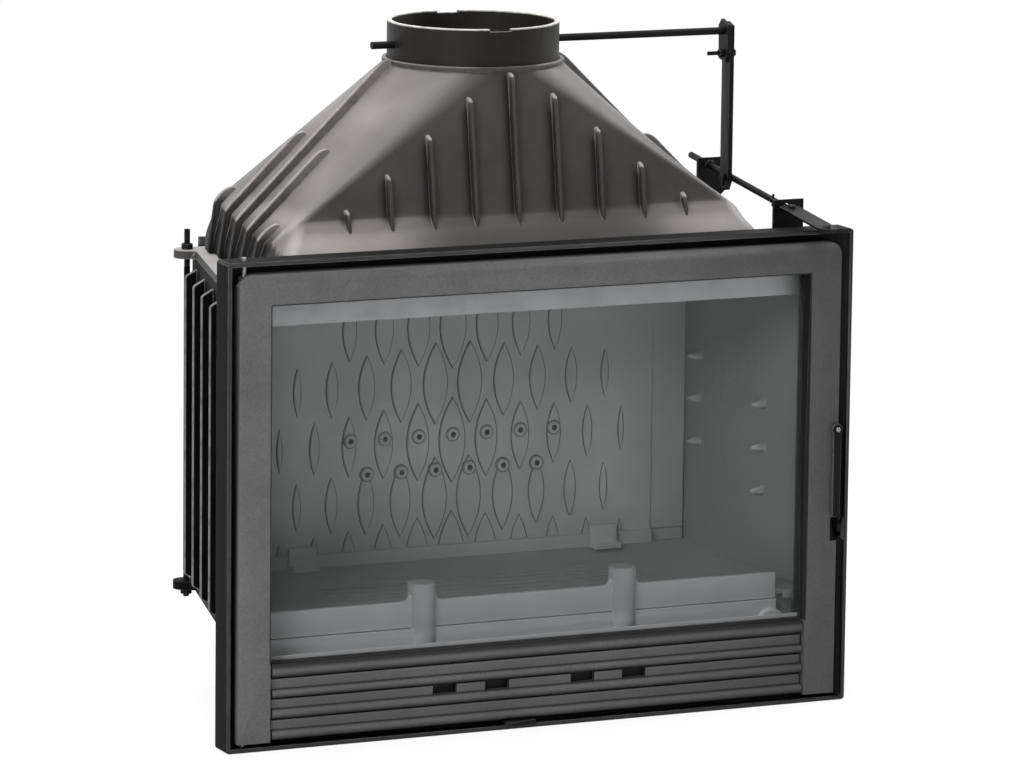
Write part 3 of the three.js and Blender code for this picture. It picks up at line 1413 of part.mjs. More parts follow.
addMesh("front_rod_bracket", rodBracket(frontBracketPlace, frontFoot, frontFoot + bracketWidth), steelBlack);
addMesh("rear_bracket_bolt", bracketBolt(rearFoot + bracketFootWidth / 2, rearBracketPlace), steelBlack);
addMesh("front_bracket_bolt", bracketBolt(frontFoot + bracketWidth / 2, frontBracketPlace), steelBlack);
addMesh("door_frame", doorFrame(), castGrey);
addMesh("door_glass", doorGlass(), clearGlass);
for (const edge of ["left", "right", "top", "bottom"]) {
  addMesh(`glass_retainer_${edge}`, glassRetainer(edge), steelBlack);
}
addMesh("door_gasket", doorGasket(), ropeSeal);
addMesh("lower_grille", lowerGrille(), castGrey);
addMesh("air_shutter", airShutter(), sheetSteel);
addMesh("latch_lever", latchLever(), sheetSteel);
addMesh("latch_screw", latchScrew(), steelBright);
addMesh("damper_shaft", damperShaft(), steelBlack);
addMesh("damper_flap", damperFlap(), castBlack);
addMesh("left_flap_screw", flapScrew(-1), steelBlack);
addMesh("right_flap_screw", flapScrew(1), steelBlack);
addMesh("damper_arm", damperArm(), steelBlack);
addMesh("arm_clamp", armClamp(), steelBlack);
addMesh("clamp_bolt", clampBolt(), steelBlack);
addMesh("clamp_nut", clampNut(), steelBlack);
addMesh("control_rod", controlRod(), steelBlack);
addMesh("stop_pin", stopPin(), steelBlack);
addMesh("pull_handle", pullHandle(), steelBlack);
addMesh("handle_screw", handleScrew(), steelBright);

export default insert;
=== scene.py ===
"""Finishes, fine shapes and studio for a cast-iron wood-burning fireplace insert.

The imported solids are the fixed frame, in metres. Pieces whose relief, threads or rounding the
solids only outline are built here and stand for them. The others keep their form and get a finish.
"""

from __future__ import annotations

import json
import logging
import math
from dataclasses import dataclass, field
from enum import Enum
from typing import Any, Callable, Iterable, Sequence, Union

import bmesh
import bpy
from mathutils import Matrix, Vector

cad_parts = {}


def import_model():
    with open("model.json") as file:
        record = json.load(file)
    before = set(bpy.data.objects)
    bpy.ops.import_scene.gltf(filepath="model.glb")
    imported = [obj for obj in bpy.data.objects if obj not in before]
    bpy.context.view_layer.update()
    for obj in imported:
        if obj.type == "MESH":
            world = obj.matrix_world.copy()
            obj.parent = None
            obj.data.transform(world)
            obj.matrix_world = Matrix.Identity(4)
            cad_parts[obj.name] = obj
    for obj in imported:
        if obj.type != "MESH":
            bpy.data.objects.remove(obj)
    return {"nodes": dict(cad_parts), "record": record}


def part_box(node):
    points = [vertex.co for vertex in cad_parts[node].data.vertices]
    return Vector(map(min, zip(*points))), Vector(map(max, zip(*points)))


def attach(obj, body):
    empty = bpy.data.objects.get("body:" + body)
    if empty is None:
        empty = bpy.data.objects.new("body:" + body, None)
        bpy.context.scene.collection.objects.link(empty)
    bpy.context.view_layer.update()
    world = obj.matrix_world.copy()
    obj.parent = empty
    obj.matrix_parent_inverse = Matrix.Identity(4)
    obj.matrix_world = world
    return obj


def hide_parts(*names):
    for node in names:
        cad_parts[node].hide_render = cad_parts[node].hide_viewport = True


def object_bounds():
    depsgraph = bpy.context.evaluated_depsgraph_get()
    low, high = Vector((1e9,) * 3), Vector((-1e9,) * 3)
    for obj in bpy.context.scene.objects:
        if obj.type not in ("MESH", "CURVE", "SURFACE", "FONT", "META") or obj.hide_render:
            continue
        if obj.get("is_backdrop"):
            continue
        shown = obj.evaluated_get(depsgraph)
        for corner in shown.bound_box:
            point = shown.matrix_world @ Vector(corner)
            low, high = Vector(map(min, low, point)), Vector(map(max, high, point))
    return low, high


log = logging.getLogger("fireplace")

MM = 0.001
TIP = 0.01 * MM  # radius of a ring that stands for a point
WELD = 0.01 * MM  # points that lie closer than this become one
CREASE = 32.0  # angle in degrees above which an edge stays sharp
SIDE_SHARE = 0.45  # most of a side that the rounding of one corner takes
LEAST_REACH = 0.45  # keeps the points of sharp corners from running inwards too far
MIX_SHARE, MIX_FIRST, MIX_SECOND, MIX_RESULT = 0, 6, 7, 2  # sockets for colours in a mixing node
Pair = tuple[float, float]
Pairs = tuple[Pair, ...]
Place = tuple[float, float, float]
Colour = tuple[float, float, float]
Operand = Union["Signal", float, Sequence[float]]


class Axis(Enum):
    """A direction of the shared frame."""

    X = (1.0, 0.0, 0.0)
    Y = (0.0, 1.0, 0.0)
    Z = (0.0, 0.0, 1.0)

    @property
    def vector(self) -> Vector:
        """The direction as a vector."""
        return Vector(self.value)


class Signal:
    """An output socket of a shader graph that can be used in sums."""

    def __init__(self, graph: Graph, socket: bpy.types.NodeSocket) -> None:
        """Keep the graph and the socket."""
        self.graph = graph
        self.socket = socket

    def __add__(self, other: Operand) -> Signal:
        """Sum."""
        return self.graph.combine("ADD", self, other)

    def __radd__(self, other: Operand) -> Signal:
        """Sum with the signal on the right."""
        return self.graph.combine("ADD", other, self)

    def __sub__(self, other: Operand) -> Signal:
        """Difference."""
        return self.graph.combine("SUBTRACT", self, other)

    def __rsub__(self, other: Operand) -> Signal:
        """Difference with the signal on the right."""
        return self.graph.combine("SUBTRACT", other, self)

    def __mul__(self, other: Operand) -> Signal:
        """Product."""
        return self.graph.combine("MULTIPLY", self, other)

    def __rmul__(self, other: Operand) -> Signal:
        """Product with the signal on the right."""
        return self.graph.combine("MULTIPLY", other, self)

    def __truediv__(self, other: Operand) -> Signal:
        """Quotient."""
        return self.graph.combine("DIVIDE", self, other)

    def __rtruediv__(self, other: Operand) -> Signal:
        """Quotient with the signal on the right."""
        return self.graph.combine("DIVIDE", other, self)

    def __neg__(self) -> Signal:
        """The signal turned round."""
        return self.graph.combine("MULTIPLY", self, -1.0)

    def __abs__(self) -> Signal:
        """Size without sign."""
        return self.graph.add("ShaderNodeMath", {"operation": "ABSOLUTE"}, {0: self})

    def along(self, axis: Axis) -> Signal:
        """One coordinate of a place or direction."""
        return self.graph.add("ShaderNodeSeparateXYZ", {}, {0: self}, axis.name)

    def between(self, low: float, high: float) -> Signal:
        """Turn the span from low to high into a smooth 0 to 1.

        Args:
            low: value that becomes 0.
            high: value that becomes 1.

        Returns:
            The stretched and limited signal.
        """
        return self.graph.add(
            "ShaderNodeMapRange",
            {"interpolation_type": "SMOOTHSTEP"},
            {"Value": self, "From Min": low, "From Max": high},
        )

    def blend(self, first: Operand, second: Operand) -> Signal:
        """Mix two colours, with this signal as the share of the second.

        Args:
            first: colour where the signal is 0.
            second: colour where the signal is 1.

        Returns:
            The mixed colour.
        """
        inputs = {MIX_SHARE: self, MIX_FIRST: first, MIX_SECOND: second}
        return self.graph.add("ShaderNodeMix", {"data_type": "RGBA"}, inputs, MIX_RESULT)


class Graph:
    """The node tree of one material, or of the world."""

    def __init__(self, holder: bpy.types.Material | bpy.types.World) -> None:
        """Start with an empty tree.

        Args:
            holder: the material or world that holds the tree.
        """
        holder.use_nodes = True
        self.material = holder
        self.tree = holder.node_tree
        self.tree.nodes.clear()

    @classmethod
    def named(cls, name: str) -> Graph:
        """Start a material of that name."""
        return cls(bpy.data.materials.new(name))

    def add(
        self,
        kind: str,
        settings: dict[str, Any] | None = None,
        inputs: dict[str | int, Operand] | None = None,
        out: str | int = 0,
    ) -> Signal:
        """Add one node.

        Args:
            kind: the node's type.
            settings: its properties, which are set first.
            inputs: values or signals of its sockets, by name or place.
            out: the output to return.

        Returns:
            The chosen output.
        """
        node = self.tree.nodes.new(kind)
        for key, value in (settings or {}).items():
            setattr(node, key, value)
        for key, value in (inputs or {}).items():
            socket = node.inputs[key]
            if isinstance(value, Signal):
                self.tree.links.new(value.socket, socket)
            elif socket.type == "RGBA" and len(value) == 3:
                socket.default_value = (*value, 1.0)
            else:
                socket.default_value = value
        return Signal(self, node.outputs[out])

    def combine(self, operation: str, first: Operand, second: Operand) -> Signal:
        """Work out one sum of numbers, colours or vectors.

        Args:
            operation: the name of the operation.
            first: left operand.
            second: right operand.

        Returns:
            The result.
        """
        def single(value: Operand) -> bool:
            """Whether an operand is a single number."""
            if isinstance(value, Signal):
                return value.socket.type == "VALUE"
            return isinstance(value, (int, float))

        pair = {0: first, 1: second}
        if single(first) and single(second):
            return self.add("ShaderNodeMath", {"operation": operation}, pair)
        for side, value in pair.items():
            pair[side] = (value,) * 3 if isinstance(value, (int, float)) else value
        return self.add("ShaderNodeVectorMath", {"operation": operation}, pair)

    def place(self, stretch: Sequence[float] = (1.0, 1.0, 1.0)) -> Signal:
        """The place on the piece, in metres, stretched along the axes."""
        return self.add("ShaderNodeTexCoord", out="Object") * stretch

    def grain(
        self, place: Signal, size: float, detail: float = 3.0, roughness: float = 0.55,
    ) -> Signal:
        """Cloudy noise.

        Args:
            place: where it is read.
            size: size of its largest lumps, in metres.
            detail: number of finer layers.
            roughness: weight of the finer layers.

        Returns:
            A number from 0 to 1.
        """
        inputs = {"Vector": place, "Scale": 1.0 / size, "Detail": detail, "Roughness": roughness}
        return self.add("ShaderNodeTexNoise", {}, inputs)

    def pits(self, place: Signal, size: float) -> Signal:
        """Distance to the middle of the nearest cell, for sand pits."""
        return self.add("ShaderNodeTexVoronoi", {}, {"Vector": place, "Scale": 1.0 / size})

    def rounded(self, radius: float) -> Signal:
        """The surface direction with its corners rounded off."""
        return self.add("ShaderNodeBevel", {"samples": 4}, {"Radius": radius})

    def corners(self, rounded: Signal) -> Signal:
        """A mask of the corners, from the difference between rounded and true direction."""
        true = self.add("ShaderNodeNewGeometry", out="Normal")
        pair = {0: rounded, 1: true}
        same = self.add("ShaderNodeVectorMath", {"operation": "DOT_PRODUCT"}, pair, "Value")
        return (1.0 - same).between(0.01, 0.16)

    def facing(self, axis: Axis) -> Signal:
        """How far the surface faces along an axis, from -1 to 1."""
        return self.add("ShaderNodeNewGeometry", out="Normal").along(axis)

    def marked(self, name: str) -> Signal:
        """What was marked under a name while a piece was built."""
        return self.add("ShaderNodeAttribute", {"attribute_name": name}, out="Fac")

    def edges(self, corner: Signal, patch: Signal) -> Signal:
        """Where edges are brightened, as wear and painted highlight: at corners and at marked
        edges.

        Args:
            corner: the mask of the corners.
            patch: cloudy noise that breaks it up.

        Returns:
            The mask.
        """
        marked = self.marked("worn") * (0.55 + 0.45 * patch.between(0.3, 0.6))
        return 1.0 - (1.0 - corner * patch.between(0.25, 0.65)) * (1.0 - marked)

    def bump(self, height: Signal, depth: float, normal: Signal | None = None) -> Signal:
        """A surface direction roughened by a height.

        Args:
            height: the height, from 0 to 1.
            depth: what 1 stands for, in metres.
            normal: the direction that is roughened.

        Returns:
            The roughened direction.
        """
        inputs: dict[str | int, Operand] = {"Strength": 1.0, "Distance": depth, "Height": height}
        if normal is not None:
            inputs["Normal"] = normal
        return self.add("ShaderNodeBump", {}, inputs)

    def finish(self, inputs: dict[str | int, Operand]) -> bpy.types.Material:
        """Close the tree with the main shader.

        Args:
            inputs: values or signals of its sockets.

        Returns:
            The material.
        """
        self.close(self.add("ShaderNodeBsdfPrincipled", {}, inputs))
        return self.material

    def close(self, shader: Signal, end: str = "ShaderNodeOutputMaterial") -> None:
        """Lead a shader to the tree's end.

        Args:
            shader: the shader.
            end: the end node's type.
        """
        node = self.tree.nodes.new(end)
        self.tree.links.new(shader.socket, node.inputs["Surface"])


def scaled(colour: Colour, share: float) -> Colour:
    """A colour made lighter or darker."""
    return tuple(part * share for part in colour)


@dataclass(frozen=True)
class CastIron:
    """Sand-cast iron, painted or bare."""

    slot: str
    colour: Colour
    light: Colour
    worn: Colour
    roughness: float = 0.62
    gloss: float = 0.3
    metallic: float = 0.0
    lump: float = 2.2 * MM
    depth: float = 0.35 * MM
    corner: float = 1.6 * MM
    edge_wear_and_highlight: float = 0.5
    # painted top light: how far surfaces that face up are lightened, and the pale colour they take
    painted_top_light: float = 0.12
    top_light_colour: Colour = (0.32, 0.31, 0.29)
    slopes: Pair = (0.3, 0.95)
    speckle: float = 0.35
    cloud_size: float = 90 * MM
    patch_size: float = 14 * MM
    painted_shade_depth: float = 0.86

    def tinted(self, graph: Graph, place: Signal, tone: Signal) -> Signal:
        """Change the tone where a kind of iron is finished otherwise, or carries painted light or
        shade.

        Args:
            graph: the material's graph.
            place: the place on the piece.
            tone: the tone so far.

        Returns:
            The tone.
        """
        return tone

    def top_lit_share(self, graph: Graph, place: Signal, top_lit: Signal) -> Signal:
        """Change the share of painted top light where a kind of iron is lit otherwise.

        Args:
            graph: the material's graph.
            place: the place on the piece.
            top_lit: the share of painted top light so far.

        Returns:
            The share.
        """
        return top_lit

    def painted_shade(self, graph: Graph, place: Signal, tone: Signal) -> Signal:
        """Darken the finished tone with painted shade where a kind of iron needs it.

        Args:
            graph: the material's graph.
            place: the place on the piece.
            tone: the tone so far.

        Returns:
            The tone.
        """
        return tone

    def material(self) -> bpy.types.Material:
        """Build the finish.

        Returns:
            The material.
        """
        graph = Graph.named(f"finish_{self.slot}")
        place = graph.place()
        sand = graph.grain(place, self.lump, detail=4.0, roughness=0.62)
        grit = graph.grain(place, self.lump * 0.35, detail=2.0, roughness=0.5)
        cloud = graph.grain(place, self.cloud_size, detail=4.0, roughness=0.6)
        patch = graph.grain(place, self.patch_size, roughness=0.6)
        pit = graph.pits(place, self.lump * 2.4).between(0.0, 0.32)
        rounded = graph.rounded(self.corner)
        corner = graph.edges(graph.corners(rounded), patch)
        tone = cloud.between(0.3, 0.7).blend(self.colour, self.light)
        tone = tone * (1.0 + self.speckle * (sand - 0.5)) * (0.93 + 0.14 * patch)
        tone = self.tinted(graph, place, tone)
        # edges brightened: wear and painted highlight
        tone = (corner * self.edge_wear_and_highlight).blend(tone, self.worn)
        # painted top light: surfaces that face up are lightened towards a pale colour
        top_lit = graph.facing(Axis.Z).between(*self.slopes)
        top_lit = top_lit * (0.7 + 0.3 * cloud.between(0.2, 0.8)) * self.painted_top_light
        tone = self.top_lit_share(graph, place, top_lit).blend(tone, self.top_light_colour) * (0.94 + 0.12 * sand)
        # painted shade where 'crease' is marked: grooves, roots, holes and round bars; a darker
        # tone on rods and posts
        tone = tone * (1.0 - self.painted_shade_depth * graph.marked("crease"))
        tone = self.painted_shade(graph, place, tone)
        rough = self.roughness + 0.16 * (grit - 0.5) + 0.1 * (cloud - 0.5) - 0.12 * corner
        height = 0.55 * sand + 0.25 * grit + 0.2 * pit
        return graph.finish({
            "Base Color": tone,
            "Roughness": rough,
            "Metallic": self.metallic,
            "Specular IOR Level": self.gloss,
            "Normal": graph.bump(height, self.depth, rounded),
        })


@dataclass(frozen=True)
class EdgedIron(CastIron):
    """Iron with painted shade on its sides, which are coloured black; the front keeps its tone."""

    painted_shade_colour: Colour = (0.0022, 0.0021, 0.002)

    def tinted(self, graph: Graph, place: Signal, tone: Signal) -> Signal:
        """Colour the sides black as painted shade, and keep the tone where the surface faces the
        room.
        """
        return (-graph.facing(Axis.Y)).between(0.3, 0.7).blend(self.painted_shade_colour, tone)


@dataclass(frozen=True)
class WindowedIron(CastIron):
    """Painted iron round a window, with painted shade in the window's edge and towards the right.
    """

    painted_shade_colour: Colour = (0.006, 0.006, 0.0065)
    half: float = 346.2 * MM
    low: float = 100.9 * MM
    high: float = 521.2 * MM
    soft: float = 0.5 * MM
    painted_lift: float = 1.12
    side_shade: float = 0.4
    side_shade_span: Pair = (60 * MM, 385 * MM)

    def tinted(self, graph: Graph, place: Signal, tone: Signal) -> Signal:
        """Blacken the window's edge as painted shade, and paint the tone darker towards the right
        as shade.
        """
        height = place.along(Axis.Z)
        inside = 1.0 - abs(place.along(Axis.X)).between(self.half, self.half + self.soft)
        inside = inside * height.between(self.low - self.soft, self.low)
        inside = inside * (1.0 - height.between(self.high, self.high + self.soft))
        right_shade = self.side_shade * place.along(Axis.X).between(*self.side_shade_span)
        return inside.blend(tone * (self.painted_lift - right_shade), self.painted_shade_colour)


@dataclass(frozen=True)
class HoodIron(CastIron):
    """Hood iron: painted top light on its slopes and corners, painted shade on the middle of its
    front.
    """

    foot: float = 602 * MM
    front_half: float = 285 * MM
    narrowing: float = 1.494
    lean: float = 0.1
    lean_end: Pair = (30, 90)
    kept: float = 0.28
    low_edge: Pair = (0.34, 0.66)
    high_edge: Pair = (0.8, 1.36)
    front_loss: float = 0.45
    throat: Pair = (700 * MM, 745 * MM)
    throat_loss: float = 0.3
    rib_pitch: float = 54.2 * MM
    rib_top: float = 768 * MM
    rib_fall: float = 0.73
    rib_shift: float = 8 * MM
    rib_field: Pair = (222 * MM, 232 * MM)
    rib_shadow_depth: float = 0.92
    foot_shade_depth: float = 0.36
    foot_field: Pair = (100 * MM, 220 * MM)

    def over_foot(self, height: Signal, low: float, high: float) -> Signal:
        """Turn a span of heights into 0 to 1.

        Args:
            height: the height.
            low: where the span starts, in millimetres above the hood's foot.
            high: where it ends.

        Returns:
            The stretched height.
        """
        return height.between(self.foot + low * MM, self.foot + high * MM)

    def painted_shade(self, graph: Graph, place: Signal, tone: Signal) -> Signal:
        """Paint shade on the foot of the front's middle, and a painted shadow beside each rib."""
        height, across = place.along(Axis.Z), place.along(Axis.X)
        fronting = (-graph.facing(Axis.Y)).between(0.3, 0.6)
        low = 1.0 - self.over_foot(height, -26, -6)
        low = low * (1.0 - abs(across).between(*self.foot_field))
        turn = {0: across / self.rib_pitch + 0.5}
        turn = graph.add("ShaderNodeMath", {"operation": "FRACT"}, turn)
        beside = turn.between(0.1, 0.47) * (1.0 - turn.between(0.462, 0.47))
        top = self.rib_top - self.rib_fall * abs(across + self.rib_shift)
        along = self.over_foot(height, -14, 2)
        along = along * (1.0 - height.between(top - 14 * MM, top))
        along = along * (1.0 - abs(across).between(*self.rib_field))
        rib_shadowed = self.rib_shadow_depth * beside * beside * along * fronting
        return tone * (1.0 - self.foot_shade_depth * low) * (1.0 - rib_shadowed)

    def top_lit_share(self, graph: Graph, place: Signal, top_lit: Signal) -> Signal:
        """Spread painted top light towards the corners, and little of it where the surface faces
        the room.
        """
        height = place.along(Axis.Z)
        lean = self.lean * (1.0 - self.over_foot(height, *self.lean_end))
        half = self.front_half - self.narrowing * (height - self.foot)
        reach = abs(place.along(Axis.X) / half - lean)
        above = self.over_foot(height, -4, 14)
        edge = reach.between(*self.low_edge) * (1.0 - above)
        edge = edge + reach.between(*self.high_edge) * above
        middle = self.kept * self.over_foot(height, -32, -2)
        middle = middle * (1.0 - 0.7 * above)
        fronting = (-graph.facing(Axis.Y)).between(0.05, 0.45) * above
        steep = graph.facing(Axis.Z).between(0.2, 0.45) * edge * 0.5
        most = graph.combine("MAXIMUM", top_lit * (middle + (1.0 - middle) * edge), steep)
        most = most * (1.0 - self.front_loss * fronting)
        return most * (1.0 - self.throat_loss * height.between(*self.throat))


@dataclass(frozen=True)
class LiftedIron(CastIron):
    """Iron with painted light low down and painted shade at its sides."""

    lift: float = 1.0
    low: float = 90 * MM
    high: float = 128 * MM
    side_shade: float = 0.0
    side_shade_span: Pair = (200 * MM, 340 * MM)

    def tinted(self, graph: Graph, place: Signal, tone: Signal) -> Signal:
        """Paint light on the tone towards the foot, and shade towards the sides."""
        aside = abs(place.along(Axis.X)).between(*self.side_shade_span)
        low = 1.0 - place.along(Axis.Z).between(self.low, self.high)
        return tone * (1.0 + self.lift * low) * (1.0 - self.side_shade * aside)


@dataclass(frozen=True)
class LinedIron(CastIron):
    """Body iron: black outside, grey like the lining towards the fire."""

    lining: Colour = (0.1, 0.105, 0.102)
    half: float = 379.5 * MM
    taper: float = 0.25444
    front: float = 128 * MM
    rear: float = 1.0
    soft: float = 0.3 * MM

    def tinted(self, graph: Graph, place: Signal, tone: Signal) -> Signal:
        """Give the walls' inner halves the colour of the lining."""
        reach = abs(place.along(Axis.X)) + self.taper * (place.along(Axis.Y) + self.front)
        cloud = graph.grain(place, 110 * MM, roughness=0.5)
        grey = cloud.between(0.3, 0.7).blend(self.lining, scaled(self.lining, 1.1))
        within = 1.0 - place.along(Axis.Y).between(self.rear, self.rear + self.soft)
        within = within * graph.facing(Axis.Z).between(-0.7, -0.4)
        inner = 1.0 - reach.between(self.half - 0.5 * MM, self.half + 0.5 * MM)
        return (within * inner).blend(tone, grey)


@dataclass(frozen=True)
class Steel:
    """Rolled, turned or plated steel with fine working lines."""

    slot: str
    colour: Colour
    worn: Colour
    along: Axis = Axis.X
    roughness: float = 0.38
    metallic: float = 0.9
    gloss: float = 0.5
    lines: float = 0.12
    depth: float = 0.05 * MM
    corner: float = 0.6 * MM
    edge_wear_and_highlight: float = 0.5

    def material(self) -> bpy.types.Material:
        """Build the finish.

        Returns:
            The material.
        """
        graph = Graph.named(f"finish_{self.slot}")
        place = graph.place()
        stretch = tuple(0.04 if part else 1.0 for part in self.along.value)
        lines = graph.grain(graph.place(stretch), 0.9 * MM, roughness=0.6)
        smear = graph.grain(place, 35 * MM, detail=4.0, roughness=0.6)
        specks = graph.grain(place, 2.5 * MM, roughness=0.7).between(0.58, 0.75)
        rounded = graph.rounded(self.corner)
        corner = graph.edges(graph.corners(rounded), graph.grain(place, 6 * MM))
        tone = smear.between(0.3, 0.7).blend(scaled(self.colour, 0.8), self.colour)
        tone = tone * (0.9 + 0.2 * lines)
        tone = (specks * 0.25).blend(tone, scaled(self.colour, 0.55))
        # edges brightened: wear and painted highlight
        tone = (corner * self.edge_wear_and_highlight).blend(tone, self.worn)
        rough = self.roughness + self.lines * (lines - 0.5) + 0.18 * (smear - 0.5)
        return graph.finish({
            "Base Color": tone,
            "Roughness": rough,
            "Metallic": self.metallic,
            "Specular IOR Level": self.gloss,
            "Normal": graph.bump(lines * 0.7 + specks * 0.3, self.depth, rounded),
        })


@dataclass(frozen=True)
class CeramicGlass:
    """Clear heat-proof glass with a faint grey-green body and a trace of haze."""

    slot: str
    colour: Colour = (0.30, 0.34, 0.325)
    cover: float = 0.05

    def material(self) -> bpy.types.Material:
        """Build the finish.

        Returns:
            The material.
        """
        graph = Graph.named(f"finish_{self.slot}")
        haze = graph.grain(graph.place(), 120 * MM, roughness=0.5)
        streak = graph.grain(graph.place((1.0, 1.0, 0.12)), 24 * MM, roughness=0.6)
        tone = haze.between(0.3, 0.7).blend(self.colour, scaled(self.colour, 1.12))
        return graph.finish({
            "Base Color": tone,
            "Roughness": 0.03 + 0.05 * streak,
            "Alpha": self.cover + 0.02 * (haze - 0.5) + 0.01 * (streak - 0.5),
            "Specular IOR Level": 0.5,
        })


@dataclass(frozen=True)
class FibreRope:
    """Braided glass-fibre rope."""

    slot: str
    colour: Colour = (0.09, 0.088, 0.083)

    def material(self) -> bpy.types.Material:
        """Build the finish.

        Returns:
            The material.
        """
        graph = Graph.named(f"finish_{self.slot}")
        place = graph.place()
        fibre = graph.grain(place, 0.7 * MM, detail=4.0, roughness=0.7)
        patch = graph.grain(place, 20 * MM, roughness=0.6)
        tone = patch.between(0.3, 0.7).blend(self.colour, scaled(self.colour, 1.5))
        return graph.finish({
            "Base Color": tone * (0.6 + 0.8 * fibre),
            "Roughness": 0.88 + 0.1 * (fibre - 0.5),
            "Specular IOR Level": 0.15,
            "Normal": graph.bump(fibre, 0.5 * MM),
        })


FINISHES = {
    finish.slot: finish
    for finish in (
        WindowedIron(
            "cast_grey", (0.074, 0.074, 0.0745), (0.088, 0.088, 0.0885), (0.19, 0.19, 0.19),
            roughness=0.62, gloss=0.2, depth=0.55 * MM, painted_top_light=0.1, speckle=0.7,
        ),
        EdgedIron(
            "edged_grey", (0.031, 0.031, 0.0313), (0.038, 0.038, 0.0383), (0.2, 0.2, 0.2),
            roughness=0.62, gloss=0.06, depth=0.4 * MM, painted_top_light=0.0, edge_wear_and_highlight=0.7,
        ),
        CastIron(
            "cast_black", (0.0022, 0.0021, 0.0021), (0.0045, 0.0044, 0.0043), (0.2, 0.195, 0.19),
            gloss=0.05, painted_top_light=0.02, edge_wear_and_highlight=0.7, corner=1.0 * MM,
        ),
        # the top plate: painted top light makes its upper face pale like the hood
        CastIron(
            "rimmed_grey", (0.04, 0.0375, 0.036), (0.055, 0.052, 0.05), (0.42, 0.405, 0.39),
            gloss=0.15, painted_top_light=0.95, edge_wear_and_highlight=1.0, corner=2.2 * MM,
            top_light_colour=(0.27, 0.258, 0.248), slopes=(0.4, 0.9),
        ),
        LinedIron(
            "lined_black", (0.0022, 0.0021, 0.0021), (0.0045, 0.0044, 0.0043), (0.36, 0.355, 0.35),
            gloss=0.05, painted_top_light=0.0, edge_wear_and_highlight=0.8, corner=1.0 * MM, depth=0.04 * MM, speckle=0.12,
        ),
        LinedIron(
            "lined_base", (0.0022, 0.0021, 0.0021), (0.0045, 0.0044, 0.0043), (0.2, 0.195, 0.19),
            gloss=0.05, painted_top_light=0.0, edge_wear_and_highlight=0.7, corner=1.0 * MM, rear=118 * MM, depth=0.12 * MM,
        ),
        HoodIron(
            "hood_grey", (0.036, 0.0328, 0.0312), (0.048, 0.0445, 0.0425), (0.30, 0.285, 0.275),
            roughness=0.5, gloss=0.22, lump=1.6 * MM, depth=0.2 * MM, painted_top_light=0.95, edge_wear_and_highlight=0.8,
            top_light_colour=(0.226, 0.213, 0.205), slopes=(0.42, 0.78),
        ),
        CastIron(
            "collar_black", (0.0085, 0.0072, 0.0064), (0.013, 0.0112, 0.010), (0.45, 0.44, 0.42),
            roughness=0.5, gloss=0.15, lump=1.2 * MM, depth=0.15 * MM, painted_top_light=0.0, edge_wear_and_highlight=1.0,
            corner=1.2 * MM,
        ),
        LiftedIron(
            "fire_grey", (0.208, 0.216, 0.212), (0.238, 0.247, 0.243), (0.38, 0.39, 0.385),
            roughness=0.8, gloss=0.12, lump=1.2 * MM, depth=0.06 * MM, painted_top_light=0.0, speckle=0.2,
            lift=0.28, low=220 * MM, high=420 * MM, side_shade=0.3,
        ),
        # painted shade: the lining's grey made darker for the hearth floor and grate
        CastIron(
            "hearth_grey", (0.13, 0.136, 0.133), (0.16, 0.166, 0.163), (0.30, 0.31, 0.305),
            roughness=0.85, gloss=0.1, lump=1.6 * MM, depth=0.1 * MM, painted_top_light=0.0, speckle=0.2,
        ),
        LiftedIron(
            "guard_grey", (0.205, 0.209, 0.216), (0.225, 0.229, 0.236), (0.40, 0.41, 0.42),
            roughness=0.75, gloss=0.12, lump=1.2 * MM, depth=0.08 * MM, painted_top_light=0.0, speckle=0.2,
            edge_wear_and_highlight=0.7, corner=1.4 * MM, lift=0.9, low=98 * MM, high=128 * MM,
        ),
        Steel("sheet_steel", (0.29, 0.295, 0.305), (0.6, 0.6, 0.6), metallic=0.5),
        Steel(
            "bright_steel", (0.24, 0.24, 0.245), (0.75, 0.75, 0.76), along=Axis.Z, roughness=0.25,
        ),
        Steel(
            "black_steel", (0.0032, 0.0032, 0.0034), (0.24, 0.24, 0.245), along=Axis.Y,
            roughness=0.46, metallic=0.0, gloss=0.12, edge_wear_and_highlight=0.8,
        ),
        CeramicGlass("clear_glass"),
        FibreRope("rope"),
    )
}


